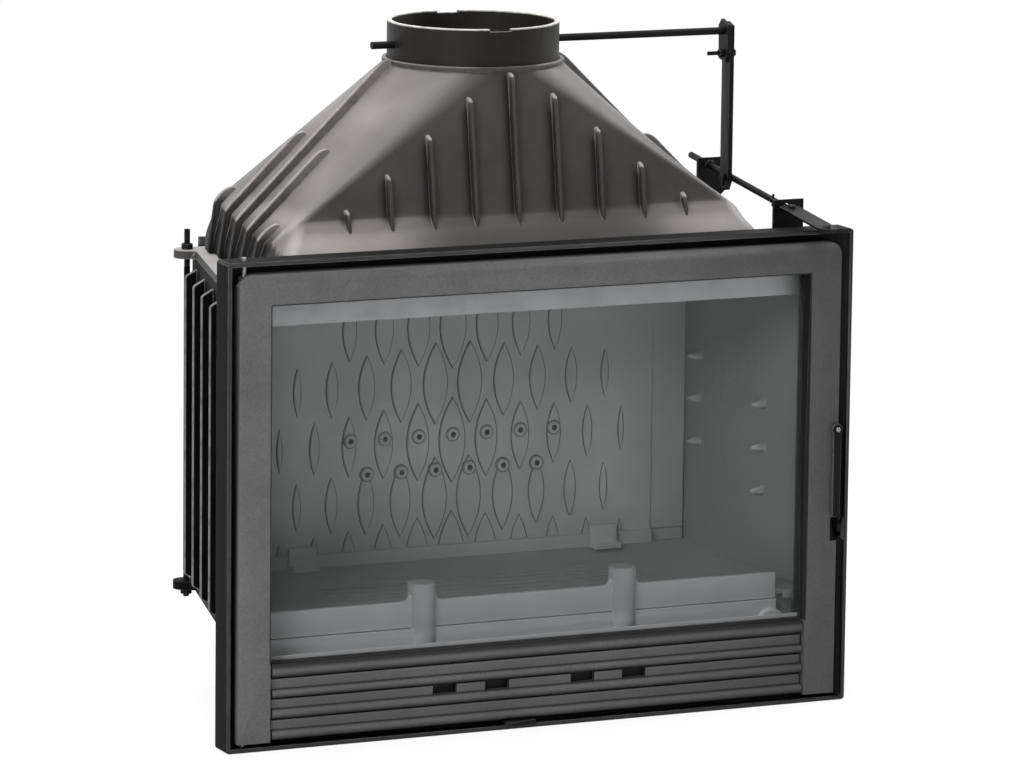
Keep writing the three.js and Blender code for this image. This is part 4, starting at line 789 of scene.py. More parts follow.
class Form:
    """Points and faces of one piece while it is built, in metres."""

    def __init__(self) -> None:
        """Start with nothing."""
        self.points: list[Vector] = []
        self.faces: list[tuple[int, ...]] = []
        self.marks: dict[str, dict[int, float]] = {"crease": {}, "worn": {}}

    def mark(self, start: int, **amounts: float | Callable[[Vector], float]) -> None:
        """Mark painted shade, where the finish turns dark, or wear and painted highlight, where it
        turns bright.

        Args:
            start: number of the first point that is marked.
            amounts: how much 'crease' (painted shade, and a darker tone on rods and posts) or
                'worn' shows, as a number or as a function of the place; points with 0 or less keep
                what they have.
        """
        for kind, amount in amounts.items():
            for number, point in enumerate(self.points[start:], start):
                share = amount(point) if callable(amount) else amount
                if share > 0:
                    self.marks[kind][number] = share

    def ring(self, points: Iterable[Sequence[float]]) -> list[int]:
        """Add points.

        Args:
            points: their places.

        Returns:
            Their numbers.
        """
        start = len(self.points)
        self.points.extend(Vector(point) for point in points)
        return list(range(start, len(self.points)))

    def skin(self, first: Sequence[int], second: Sequence[int]) -> None:
        """Join two closed rings of equal length with four-sided faces.

        Args:
            first: one ring.
            second: the other ring.
        """
        for i in range(len(first)):
            j = (i + 1) % len(first)
            self.faces.append((first[i], first[j], second[j], second[i]))

    def loft(self, rings: Sequence[Iterable[Sequence[float]]], looped: bool = False) -> None:
        """Carry a skin through a row of rings.

        Args:
            rings: the rings' points.
            looped: whether the last ring joins the first, instead of a cap on both.
        """
        placed = [self.ring(ring) for ring in rings]
        for first, second in zip(placed, placed[1:]):
            self.skin(first, second)
        if looped:
            self.skin(placed[-1], placed[0])
        else:
            self.faces.append(tuple(placed[0]))
            self.faces.append(tuple(reversed(placed[-1])))

    def turned(self, start: Vector, axis: Vector, profile: Sequence[Pair], steps: int) -> None:
        """Turn a profile round an axis.

        Args:
            start: a point on the axis.
            axis: its direction.
            profile: pairs of radius and distance along the axis.
            steps: steps round the turn.
        """
        self.loft([
            [start + axis * along + spoke * max(radius, TIP) for _, spoke in spokes(axis, steps)]
            for radius, along in profile
        ])

    def mesh(self, name: str) -> bpy.types.Mesh:
        """Close the form.

        Args:
            name: the mesh's name.

        Returns:
            A mesh with its faces turned outward.
        """
        made = bpy.data.meshes.new(name)
        made.from_pydata([tuple(point) for point in self.points], [], self.faces)
        turned = bmesh.new()
        turned.from_mesh(made)
        bmesh.ops.recalc_face_normals(turned, faces=turned.faces[:])
        turned.to_mesh(made)
        turned.free()
        for kind, shares in self.marks.items():
            if shares:
                marks = made.attributes.new(kind, "FLOAT", "POINT").data
                for number, share in shares.items():
                    marks[number].value = share
        return made


def in_metres(*pairs: Pair) -> Pairs:
    """Pairs that are given in millimetres."""
    return tuple((first * MM, second * MM) for first, second in pairs)


def corners_rounded(outline: Sequence[Pair], radius: float, steps: int = 4) -> list[Pair]:
    """Round the corners of a closed outline.

    Args:
        outline: its corners.
        radius: how far along each side the rounding starts; short sides limit it.
        steps: steps round each corner.

    Returns:
        The rounded outline.
    """
    rounded = []
    for i, corner in enumerate(outline):
        here = Vector(corner)
        before = Vector(outline[i - 1]) - here
        after = Vector(outline[(i + 1) % len(outline)]) - here
        start = here + before.normalized() * min(radius, before.length * SIDE_SHARE)
        end = here + after.normalized() * min(radius, after.length * SIDE_SHARE)
        for step in range(steps + 1):
            share = step / steps
            rounded.append(tuple(start.lerp(here, share).lerp(here.lerp(end, share), share)))
    return rounded


def taken_in(outline: Sequence[Pair], distance: float) -> list[Pair]:
    """Take a closed outline in by a distance.

    Args:
        outline: its points.
        distance: how far it is taken in.

    Returns:
        The smaller outline.
    """
    count = len(outline)
    area = sum(a[0] * b[1] - b[0] * a[1] for a, b in zip(outline, [*outline[1:], outline[0]]))
    turn = 1.0 if area > 0 else -1.0
    moved = []
    for i, (x, y) in enumerate(outline):
        before = (Vector((x, y)) - Vector(outline[i - 1])).normalized()
        after = (Vector(outline[(i + 1) % count]) - Vector((x, y))).normalized()
        inward = Vector((-before.y - after.y, before.x + after.x)) * turn
        if inward.length < 1e-6:
            moved.append((x, y))
            continue
        reach = distance / max(LEAST_REACH, inward.length / 2)
        inward.normalize()
        moved.append((x + inward.x * reach, y + inward.y * reach))
    return moved


def rectangle(left: float, right: float, low: float, high: float) -> list[Pair]:
    """The outline of a rectangle, from its lower left corner."""
    return [(left, low), (right, low), (right, high), (left, high)]


def spokes(axis: Vector, steps: int) -> list[tuple[float, Vector]]:
    """Directions spread evenly round an axis, each with its angle."""
    side = axis.orthogonal().normalized()
    across = axis.cross(side).normalized()
    turns = [math.tau * i / steps for i in range(steps)]
    return [(turn, side * math.cos(turn) + across * math.sin(turn)) for turn in turns]


@dataclass
class Plate:
    """A cast or cut plate with rounded corners and rounded edges."""

    axis: Axis
    corner: float
    edge: float
    steps: int = 3
    worn: float = 0.0

    def lift(self, point: Pair, along: float) -> Place:
        """A point of the outline in space: (y, z) for axis X, (x, z) for Y, (x, y) for Z."""
        first, second = point
        if self.axis is Axis.X:
            return (along, first, second)
        return (first, along, second) if self.axis is Axis.Y else (first, second, along)

    def add_to(self, form: Form, outline: Sequence[Pair], low: float, high: float) -> None:
        """Build the plate.

        Args:
            form: where it goes.
            outline: its corners.
            low: one face's place along the axis.
            high: the other face's place.
        """
        shape = corners_rounded(outline, self.corner) if self.corner else list(outline)
        edge = min(self.edge, (high - low) * 0.49)
        turns = [math.pi / 2 * i / self.steps for i in range(self.steps + 1)]
        lower = [(edge * (1 - math.sin(turn)), low + edge * (1 - math.cos(turn))) for turn in turns]
        upper = [(inset, high - (along - low)) for inset, along in reversed(lower)]
        start = len(form.points)
        form.loft([
            [self.lift(point, along) for point in taken_in(shape, inset)]
            for inset, along in lower + upper
        ])
        # rounded edges brightened: wear and painted highlight
        if self.worn:
            for number in range(start, len(form.points)):
                inset = (lower + upper)[(number - start) // len(shape)][0]
                if inset < edge * 0.6:
                    form.marks["worn"][number] = self.worn


def shown(name: str, data: bpy.types.ID) -> bpy.types.Object:
    """Add an object to the scene.

    Args:
        name: its name.
        data: its mesh, lamp or camera.

    Returns:
        The object.
    """
    item = bpy.data.objects.new(name, data)
    bpy.context.scene.collection.objects.link(item)
    return item


class Workshop:
    """Holds the frame and hands out materials and placed pieces."""

    def __init__(self) -> None:
        """Load the frame and make every finish once."""
        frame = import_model()
        self.solid_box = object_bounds()
        self.nodes: dict[str, bpy.types.Object] = frame["nodes"]
        record = frame["record"]
        self.slots = {part["node"]: part["material_slot"] for part in record["subparts"]}
        self.body_of = {
            node: body for body, nodes in record["behaviour"]["bodies"].items() for node in nodes
        }
        self.materials = {slot: finish.material() for slot, finish in FINISHES.items()}

    def dress(self, *nodes: str) -> None:
        """Give solids that stay the finish of their slot.

        Args:
            nodes: the solids' names.
        """
        for node in nodes:
            mesh = self.nodes[node].data
            mesh.materials.clear()
            mesh.materials.append(self.materials[self.slots[node]])
            log.info("dressed %s", node)

    def put(
        self,
        name: str,
        shape: Form | bpy.types.Mesh,
        node: str,
        crease: float = CREASE,
        finish: str = "",
    ) -> None:
        """Place a piece in the stead of one solid.

        Args:
            name: the piece's name.
            shape: its form or its mesh.
            node: the solid that it stands for.
            crease: angle above which an edge stays sharp, in degrees.
            finish: a finish other than the slot's own.
        """
        mesh = shape.mesh(name) if isinstance(shape, Form) else shape
        mesh.materials.clear()
        mesh.materials.append(self.materials[finish or self.slots[node]])
        mesh.polygons.foreach_set("use_smooth", [True] * len(mesh.polygons))
        mesh.set_sharp_from_angle(angle=math.radians(crease))
        piece = shown(name, mesh)
        evened = piece.modifiers.new("even_shading", "WEIGHTED_NORMAL")
        evened.keep_sharp = True
        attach(piece, self.body_of[node])
        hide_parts(node)
        log.info("built %s for %s", name, node)

    def rework(
        self,
        kind: str,
        node: str,
        change: Callable[[bmesh.types.BMesh], object] | None = None,
        crease: float = CREASE,
        finish: str = "",
    ) -> None:
        """Put a welded and changed copy of one solid in its stead.

        Args:
            kind: the first word of the piece's name.
            node: the solid's name.
            change: what is done to the copy.
            crease: angle above which an edge stays sharp, in degrees.
            finish: a finish other than the slot's own.
        """
        mesh = bpy.data.meshes.new(f"{kind}_{node}")
        shape = bmesh.new()
        shape.from_mesh(self.nodes[node].data)
        bmesh.ops.remove_doubles(shape, verts=shape.verts[:], dist=WELD)
        if change is not None:
            change(shape)
        shape.to_mesh(mesh)
        shape.free()
        self.put(f"{kind}_{node}", mesh, node, crease, finish)

    def soften(self, *nodes: str, crease: float = CREASE, finish: str = "") -> None:
        """Put pieces with rounded shading in the stead of faceted solids.

        Args:
            nodes: the solids' names.
            crease: angle above which an edge stays sharp, in degrees.
            finish: a finish other than the slot's own.
        """
        for node in nodes:
            self.rework("soft", node, crease=crease, finish=finish)

    def soften_worn(self, node: str, height: float, amount: float, crease: float = CREASE) -> None:
        """Soften one solid and brighten its rim above a height, as wear and painted highlight.

        Args:
            node: the solid's name.
            height: where the brightening starts.
            amount: how far the rim is brightened.
            crease: angle above which an edge stays sharp, in degrees.
        """
        def edge_wear_and_highlight(shape: bmesh.types.BMesh) -> None:
            """Cut loops below the rim and mark what lies above them."""
            for level in (height - 0.6 * MM, height):
                parts = [*shape.verts, *shape.edges, *shape.faces]
                bmesh.ops.bisect_plane(
                    shape, geom=parts, plane_co=(0, 0, level), plane_no=(0, 0, 1), dist=0.001 * MM,
                )
            layer = shape.verts.layers.float.new("worn")
            for point in shape.verts:
                point[layer] = amount if point.co.z > height - 0.05 * MM else 0.0

        self.rework("worn", node, edge_wear_and_highlight, crease)

    def nut(self, node: str, axis: Axis, bore: float = 0.0) -> None:
        """Build a hexagon nut or bolt head in the stead of one solid.

        Args:
            node: the solid's name.
            axis: the way it stands.
            bore: diameter of its hole, or 0 for a bolt head.
        """
        low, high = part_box(node)
        middle = (low + high) / 2
        start = Vector([low[i] if upright else middle[i] for i, upright in enumerate(axis.value)])
        sizes = [high[i] - low[i] for i in range(3)]
        height = sizes.pop(axis.value.index(1.0))
        form = Form()
        HexNut(min(sizes), height, bore).add_to(form, start, axis.vector)
        self.put(f"chamfered_{node}", form, node, crease=25.0)


def standing(node: str) -> tuple[Vector, float, float]:
    """Where an upright round solid stands.

    Args:
        node: the solid's name.

    Returns:
        The middle of its foot, its radius and its length.
    """
    low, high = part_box(node)
    foot = Vector(((low.x + high.x) / 2, (low.y + high.y) / 2, low.z))
    return foot, (high.x - low.x) / 2, high.z - low.z


@dataclass
class HexNut:
    """A hexagon nut or bolt head with turned chamfers."""

    across: float
    height: float
    bore: float = 0.0
    steps: int = 72
    turned: float = 0.97
    chamfer: float = 0.577

    def add_to(self, form: Form, start: Vector, axis: Vector) -> None:
        """Build the nut.

        Args:
            form: where it goes.
            start: the middle of its lower face.
            axis: the way it stands.
        """
        wheel = spokes(axis, self.steps)
        inner = self.across / 2

        def ring(limit: float, along: float) -> list[Vector]:
            """One ring whose corners are turned down to a limit."""
            points = []
            for angle, spoke in wheel:
                flat = inner / math.cos((angle + math.pi / 6) % (math.pi / 3) - math.pi / 6)
                drop = (flat - min(flat, inner * self.turned)) * self.chamfer
                rise = drop if along == 0 else self.height - drop
                height = along * self.height if limit < inner * 1.01 else rise
                points.append(start + axis * height + spoke * min(flat, limit))
            return points

        def circle(radius: float, along: float) -> list[Vector]:
            """One round ring."""
            return [start + axis * along * self.height + spoke * radius for _, spoke in wheel]

        small, wide = inner * self.turned, inner * 2
        rings = [ring(small, 0), ring(wide, 0), ring(wide, 1), ring(small, 1)]
        if self.bore:
            bore = self.bore / 2
            mouth = bore * 1.12
            rings += [circle(mouth, 1), circle(bore, 0.9), circle(bore, 0.1), circle(mouth, 0)]
        form.loft(rings, looped=bool(self.bore))


@dataclass
class Thread:
    """A rolled screw thread with round flanks."""

    radius: float
    pitch: float
    steps: int = 18
    per_turn: int = 5

    def add_to(self, form: Form, start: Vector, axis: Vector, length: float) -> None:
        """Build a threaded length of bar.

        Args:
            form: where it goes.
            start: the lower end of its axis.
            axis: its direction.
            length: its length.
        """
        depth = self.pitch * 0.5
        count = max(4, round(length / self.pitch * self.per_turn))
        wheel = spokes(axis, self.steps)
        rings = []
        for step in range(count + 1):
            along = length * step / count
            end = min(along, length - along)
            points = []
            for angle, spoke in wheel:
                wave = 0.5 + 0.5 * math.cos(math.tau * along / self.pitch - angle)
                radius = self.radius - depth * wave * min(1.0, end / self.pitch + 0.2)
                radius -= max(0.0, self.pitch * 0.6 - end) * 0.7
                points.append(start + axis * along + spoke * radius)
            rings.append(points)
        form.loft(rings)


@dataclass
class FrontFrame:
    """The frame that fits the chimney opening, with hinge pins and latch keeper."""

    workshop: Workshop
    pin_dome: float = 0.8 * MM

    def build(self) -> None:
        """Dress the frame and turn its pins."""
        self.workshop.soften("front_frame", "latch_keeper", finish="edged_grey")
        for node in ("lower_hinge_pin", "upper_hinge_pin"):
            self.pin(node)

    def pin(self, node: str) -> None:
        """Turn one hinge pin with a chamfered foot and a domed end.

        Args:
            node: the pin's solid.
        """
        foot, radius, length = standing(node)
        dome = self.pin_dome
        profile = [(radius - dome / 2, 0), (radius, dome / 2), (radius, length - dome)]
        for turn in (math.radians(degrees) for degrees in (30, 60, 90)):
            inset, drop = dome * (1 - math.cos(turn)), dome * (1 - math.sin(turn))
            profile.append((radius - inset, length - drop))
        form = Form()
        form.turned(foot, Axis.Z.vector, profile, steps=28)
        self.workshop.put(f"turned_{node}", form, node)


@dataclass
class SidePlate:
    """A tapering side wall with upright fins outside, and lug and studs inside."""

    workshop: Workshop
    side: int
    form: Form = field(default_factory=Form)
    half: float = 382.5 * MM
    taper: float = 0.25444
    front: float = -127.7 * MM
    back: float = 203.7 * MM
    front_edge: float = -128 * MM
    wall: float = 6 * MM
    low: float = 132.3 * MM
    high: float = 523.7 * MM
    fin_places: tuple[float, ...] = (167 * MM, 94.8 * MM, 22.6 * MM, -49.6 * MM, -121.8 * MM)
    fin_thick: float = 5 * MM
    fin_out: float = 15 * MM
    fin_low: float = 144 * MM
    fin_high: float = 505 * MM
    fin_chamfer: float = 8 * MM
    stud_rows: Pairs = in_metres((88, 278), (-29, 235))
    stud_pitch: float = 53 * MM
    stud_count: int = 3
    stud_length: float = 15 * MM
    stud_root: float = 6.5 * MM
    stud_tip: float = 2 * MM
    lug: tuple[float, float, float, float] = (-34 * MM, 13 * MM, 478 * MM, 488 * MM)
    lug_length: float = 22 * MM

    def half_at(self, y: float) -> float:
        """Outer half width at a depth."""
        return self.half - self.taper * (y - self.front_edge)

    def build(self) -> None:
        """Build wall, fins, lug and studs as one piece."""
        insets = [(self.wall, self.front), (0.0, self.front), (0.0, self.back)]
        insets.append((self.wall, self.back))
        wall = [(self.half_at(y) - inset, y) for inset, y in insets]
        plate = Plate(Axis.Z, corner=0.0, edge=1 * MM)
        plate.add_to(self.form, self.turned(wall), self.low, self.high)
        for place in self.fin_places:
            self.fin(place)
        y, half, low, high = self.lug
        inner = self.half_at(y) - self.wall - self.lug_length
        outline = rectangle(inner, self.half_at(y) - self.wall / 2, low, high)
        lug = Plate(Axis.Y, corner=1.5 * MM, edge=1 * MM)
        lug.add_to(self.form, self.turned(outline), y - half, y + half)
        for y, z in self.stud_rows:
            for row in range(self.stud_count):
                self.stud(y, z + row * self.stud_pitch)
        name = "left_side_plate" if self.side < 0 else "right_side_plate"
        self.workshop.put(f"finned_{name}", self.form, name, finish="lined_black")

    def turned(self, outline: list[Pair]) -> list[Pair]:
        """An outline on this plate's side of the middle."""
        return [(self.side * first, second) for first, second in outline]

    def fin(self, y: float) -> None:
        """One upright fin with chamfered ends and a bright edge: wear and painted highlight.

        Args:
            y: its depth.
        """
        half, edge = self.half_at(y), self.half_at(y) + self.fin_out
        root = half - self.wall / 2
        low, high, chamfer = self.fin_low, self.fin_high, self.fin_chamfer
        outline = [
            (root, low - chamfer), (half, low - chamfer), (edge, low),
            (edge, high), (half, high + chamfer), (root, high + chamfer),
        ]
        near, far = y - self.fin_thick / 2, min(y + self.fin_thick / 2, self.back)
        fin = Plate(Axis.Y, corner=3 * MM, edge=1.5 * MM, worn=0.55)
        fin.add_to(self.form, self.turned(outline), near, far)

    def stud(self, y: float, z: float) -> None:
        """One pointed stud inside the wall.

        Args:
            y: its depth.
            z: its height.
        """
        wall = self.half_at(y) - self.wall / 2
        foot, inward = Vector((self.side * wall, y, z)), Vector((-self.side, 0, 0))
        start = len(self.form.points)
        length = self.stud_length + self.wall / 2
        profile = [
            (self.stud_root, 0), (self.stud_tip + 0.5 * MM, length - 1.6 * MM),
            (self.stud_tip, length - 0.5 * MM), (self.stud_tip * 0.6, length), (0, length),
        ]
        self.form.turned(foot, inward, profile, steps=20)
        tip = wall - length
        # painted highlight on the stud's tip, fainter along its sides
        self.form.mark(start, worn=lambda point: 1.0 if abs(point.x) < tip + 2 * MM else 0.25)


@dataclass
class OuterBody:
    """The finned side plates, base, top and rear plates, and the tie rods with their nuts."""

    workshop: Workshop
    pitch: float = 1.25 * MM
    thread_length: float = 32 * MM
    run_out: float = 1.5 * MM
    nut_bore: float = 8.3 * MM
    rear_rim: float = 9 * MM

    def build(self) -> None:
        """Dress the plates, then build rods and nuts."""
        rear_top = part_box("rear_plate")[1].z
        self.workshop.soften_worn("rear_plate", rear_top - self.rear_rim, amount=0.8)
        self.workshop.soften("top_plate", finish="rimmed_grey")
        self.workshop.soften("base_plate", finish="lined_base")
        for side, turn in (("left", -1), ("right", 1)):
            SidePlate(self.workshop, turn).build()
            self.rod(f"{side}_tie_rod")
            for end in ("upper", "lower"):
                self.workshop.nut(f"{side}_tie_rod_{end}_nut", Axis.Z, self.nut_bore)

    def rod(self, node: str) -> None:
        """Build a tie rod, threaded at both ends.

        Args:
            node: the rod's solid.
        """
        foot, radius, length = standing(node)
        up = Axis.Z.vector
        form = Form()
        thread = Thread(radius, self.pitch)
        lower, upper = self.thread_length, self.thread_length * 1.4
        thread.add_to(form, foot, up, lower)
        thread.add_to(form, foot + up * (length - upper), up, upper)
        neck, shank = radius - self.pitch * 0.5, radius - 0.05 * MM
        start, end = lower * 0.98, length - lower * 1.38
        profile = [
            (neck, start), (shank, start + self.run_out), (shank, end - self.run_out), (neck, end),
        ]
        form.turned(foot, up, profile, steps=18)
        form.mark(0, crease=0.85)
        self.workshop.put(f"threaded_{node}", form, node, finish="cast_black")


@dataclass
class Fireback:
    """The rear lining with its staggered pointed ovals and air holes in round bosses."""

    workshop: Workshop
    form: Form = field(default_factory=Form)
    front: float = 106 * MM
    thick: float = 10 * MM
    step: float = 2 * MM
    step_half: float = 267 * MM
    pitch: float = 45 * MM
    row_pitch: float = 70 * MM
    middle: float = 297 * MM
    half_width: float = 17 * MM
    half_height: float = 52 * MM
    narrowing: float = 0.8
    shortening: float = 0.5
    relief: float = 2.5 * MM
    columns: int = 11
    rows: int = 5
    top_reach: float = 3.0
    air_rows: tuple[tuple[int, float], ...] = ((7, 304 * MM), (6, 262 * MM))
    air_pitch: float = 44.7 * MM
    boss: float = 8.5 * MM
    boss_height: float = 5.5 * MM
    hole: float = 3.5 * MM
    foot: float = 6 * MM
    foot_top: float = 169 * MM
    slopes: Pairs = in_metres(
        (-1.0, -0.3), (-0.9, 0.06), (0.05, 0.08), (0.3, 1.1), (1.2, 2.4), (1.7, 2.5), (3.6, 2.2),
    )

    def build(self) -> None:
        """Build plate, ovals and bosses as one piece."""
        self.low, self.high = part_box("fireback")
        self.plate()
        reach = (self.columns - 1) / 2
        for row in range(self.rows):
            shift = 0.5 * (row % 2)
            count = self.columns - (row % 2)
            for i in range(count):
                place = i - reach + shift
                if row < self.rows - 1 or abs(place) <= self.top_reach:
                    self.oval(place, self.middle + (row - (self.rows - 1) / 2) * self.row_pitch)
        for count, z in self.air_rows:
            for i in range(count):
                self.air_boss((i - (count - 1) / 2) * self.air_pitch, z)
        self.workshop.put("relief_fireback", self.form, "fireback", crease=38.0)

    def plate(self) -> None:
        """The plate with set-back margins and a thicker foot."""
        half, bevel = self.high.x, 1.2 * MM
        front, back = self.front, self.front + self.thick
        margin = front + self.step
        for low, high, face in (
            (self.foot_top - bevel, self.high.z, front),
            (self.low.z, self.foot_top, front - self.foot),
        ):
            points = [
                (-half, margin), (-self.step_half - bevel, margin), (-self.step_half, face),
                (self.step_half, face), (self.step_half + bevel, margin), (half, margin),
                (half, back), (-half, back),
            ]
            self.form.loft([[(x, y, z) for x, y in points] for z in (low, high)])

    def oval(self, place: float, z: float) -> None:
        """One raised pointed oval with sloping edges and a faint crown.

        Args:
            place: its column, counted from the middle.
            z: height of its middle.
        """
        across = abs(place) / ((self.columns - 1) / 2)
        half = self.half_width * (1 - self.narrowing * across)
        tall = self.half_height * (1 - self.shortening * across)
        low = self.foot_top if abs(place) * self.pitch < self.step_half else self.low.z
        low += 0.5 * MM
        start = len(self.form.points)
        rings = []
        for inset, rise in self.slopes:
            share = max(0.12, 1 - inset / half)
            points = []
            for side in (1, -1):
                for i in range(12):
                    t = side * (-1 + i / 6)
                    x = place * self.pitch + side * half * share * (1 - t * t)
                    height = max(z + tall * (1 - inset / tall * 1.6) * t, low)
                    points.append((x, self.front - rise, min(height, self.high.z - 0.4 * MM)))
            rings.append(points)
        self.form.loft(rings)
        self.form.mark(start, crease=lambda point: self.groove_shade_at(self.front - point.y))

    def groove_shade_at(self, rise: float) -> float:
        """Painted shade in the groove round an oval, at a height over the plate."""
        return 1.0 if rise < 0.1 * MM else 0.55 if rise < self.relief * 0.5 else 0.0

    def air_boss(self, x: float, z: float) -> None:
        """A domed boss with an open air hole.

        Args:
            x: its place across.
            z: its height.
        """
        top, hole = self.boss_height, self.hole
        profile = [
            (self.boss + 1 * MM, -0.3 * MM), (self.boss + 0.6 * MM, self.relief),
            (self.boss - 0.2 * MM, self.relief + 0.2 * MM), (self.boss - 0.8 * MM, top * 0.7),
            (self.boss - 2 * MM, top * 0.96), (hole + 1 * MM, top), (hole, top * 0.88),
            (hole * 0.95, top * 0.7), (hole * 0.92, top * 0.52), (0, top * 0.52),
        ]
        start = len(self.form.points)
        self.form.turned(Vector((x, self.front, z)), -Axis.Y.vector, profile, steps=24)

        def depth(point: Vector) -> float:
            """Painted shade round the boss and inside its hole."""
            away = math.hypot(point.x - x, point.z - z)
            rise = self.front - point.y
            if away < hole * 0.97:
                return 1.25
            return 0.85 if rise < self.relief * 1.1 else 0.3 if rise < top * 0.72 else 0.0

        self.form.mark(start, crease=depth)


@dataclass
class LogGuard:
    """The stepped guard behind the glass, with two round posts and a knob at its right end."""

    workshop: Workshop
    form: Form = field(default_factory=Form)
    half: float = 332 * MM
    front: float = -112 * MM
    back: float = -101 * MM
    step: float = 3 * MM
    low: float = 89.3 * MM
    step_height: float = 118 * MM
    top: float = 150 * MM
    post_place: float = 130 * MM
    post_radius: float = 16.5 * MM
    post_middle: float = -103 * MM
    post_top: float = 172 * MM
    fillet: float = 8 * MM
    heel: tuple[float, float, float, float] = (-103.5 * MM, -87 * MM, 132.3 * MM, 141.3 * MM)
    knob_place: Pair = (323 * MM, 90 * MM)
    knob_radius: float = 18 * MM
    knob_out: float = 7 * MM

    def build(self) -> None:
        """Build bands, heel, posts and knob as one piece."""
        band = Plate(Axis.Y, corner=2 * MM, edge=1.2 * MM, worn=0.5)
        band.add_to(self.form, self.upper_outline(), self.front + self.step, self.back)
        outline = rectangle(-self.half, self.half, self.low, self.step_height)
        lower = Plate(Axis.Y, corner=1 * MM, edge=1 * MM, worn=0.5)
        lower.add_to(self.form, outline, self.front, self.back)
        self.shadow_line()
        heel = Plate(Axis.X, corner=2 * MM, edge=0.5 * MM)
        heel.add_to(self.form, rectangle(*self.heel), -self.half, self.half)
        for side in (-1, 1):
            self.post(side * self.post_place)
        self.knob()
        self.workshop.put("stepped_log_guard", self.form, "log_guard", finish="guard_grey")

    def upper_outline(self) -> list[Pair]:
        """The upper band, whose top rises in a fillet beside each post."""
        turns = [math.radians(degrees) for degrees in (0, 30, 60, 90)]
        aside = [self.fillet * (1 - math.sin(turn)) for turn in turns]
        arc = list(zip(aside, [self.fillet * (1 - math.cos(turn)) for turn in turns]))
        points = [(-self.half, self.low), (self.half, self.low), (self.half, self.top)]
        for place in (self.post_place, -self.post_place):
            for side in (1, -1):
                edge = place + side * self.post_radius
                fillet = [(edge + side * aside, self.top + up) for aside, up in arc]
                points += fillet if side > 0 else fillet[::-1]
        return points + [(-self.half, self.top)]

    def shadow_line(self) -> None:
        """A thin strip just in front of the upper band, above the ledge, darkened as a painted
        shadow line.
        """
        start = len(self.form.points)
        face = self.front + self.step
        low, high = self.step_height - 0.5 * MM, self.step_height + 1.7 * MM
        line = Plate(Axis.Y, corner=0.0, edge=0.05 * MM, steps=1)
        outline = rectangle(-self.half, self.half, low, high)
        line.add_to(self.form, outline, face - 0.15 * MM, face + 1 * MM)
        self.form.mark(start, crease=0.85)

    def post(self, x: float) -> None:
        """One post with a rounded top.

        Args:
            x: its place across.
        """
        wide, length = self.post_radius, self.post_top - self.low
        profile = [
            (wide, 0), (wide, length - 2.4 * MM), (wide - 0.7 * MM, length - 0.8 * MM),
            (wide - 2 * MM, length - 0.1 * MM), (wide - 3.5 * MM, length),
            (wide * 0.4, length - 0.6 * MM),
        ]
        start = len(self.form.points)
        self.form.turned(Vector((x, self.post_middle, self.low)), Axis.Z.vector, profile, steps=48)
        self.form.mark(start, crease=0.22)

    def knob(self) -> None:
        """The round boss at the right end, cut off flat below."""
        x, z = self.knob_place
        face, wide = self.front - self.knob_out, self.knob_radius
        turns = [math.tau * i / 48 for i in range(48)]
        circle = [(math.cos(turn), math.sin(turn)) for turn in turns]
        self.form.loft([
            [(x + radius * aside, y, max(self.low, z + radius * up)) for aside, up in circle]
            for radius, y in (
                (wide, self.front + 5.5 * MM), (wide, face + 1.5 * MM), (wide - 1.5 * MM, face),
                (wide * 0.5, face), (wide * 0.42, face + 1 * MM),
            )
        ])


@dataclass
class FireLining:
    """What lies inside the firebox round the fire."""

    workshop: Workshop
    solids: tuple[str, ...] = (
        "left_fireback_clip", "right_fireback_clip", "baffle_plate", "ash_box", "ash_pan",
        "air_wash_channel",
    )

    def build(self) -> None:
        """Dress the lining, then build fireback and guard."""
        self.workshop.soften(*self.solids)
        self.workshop.soften("hearth_floor", "grate", finish="hearth_grey")
        Fireback(self.workshop).build()
        LogGuard(self.workshop).build()


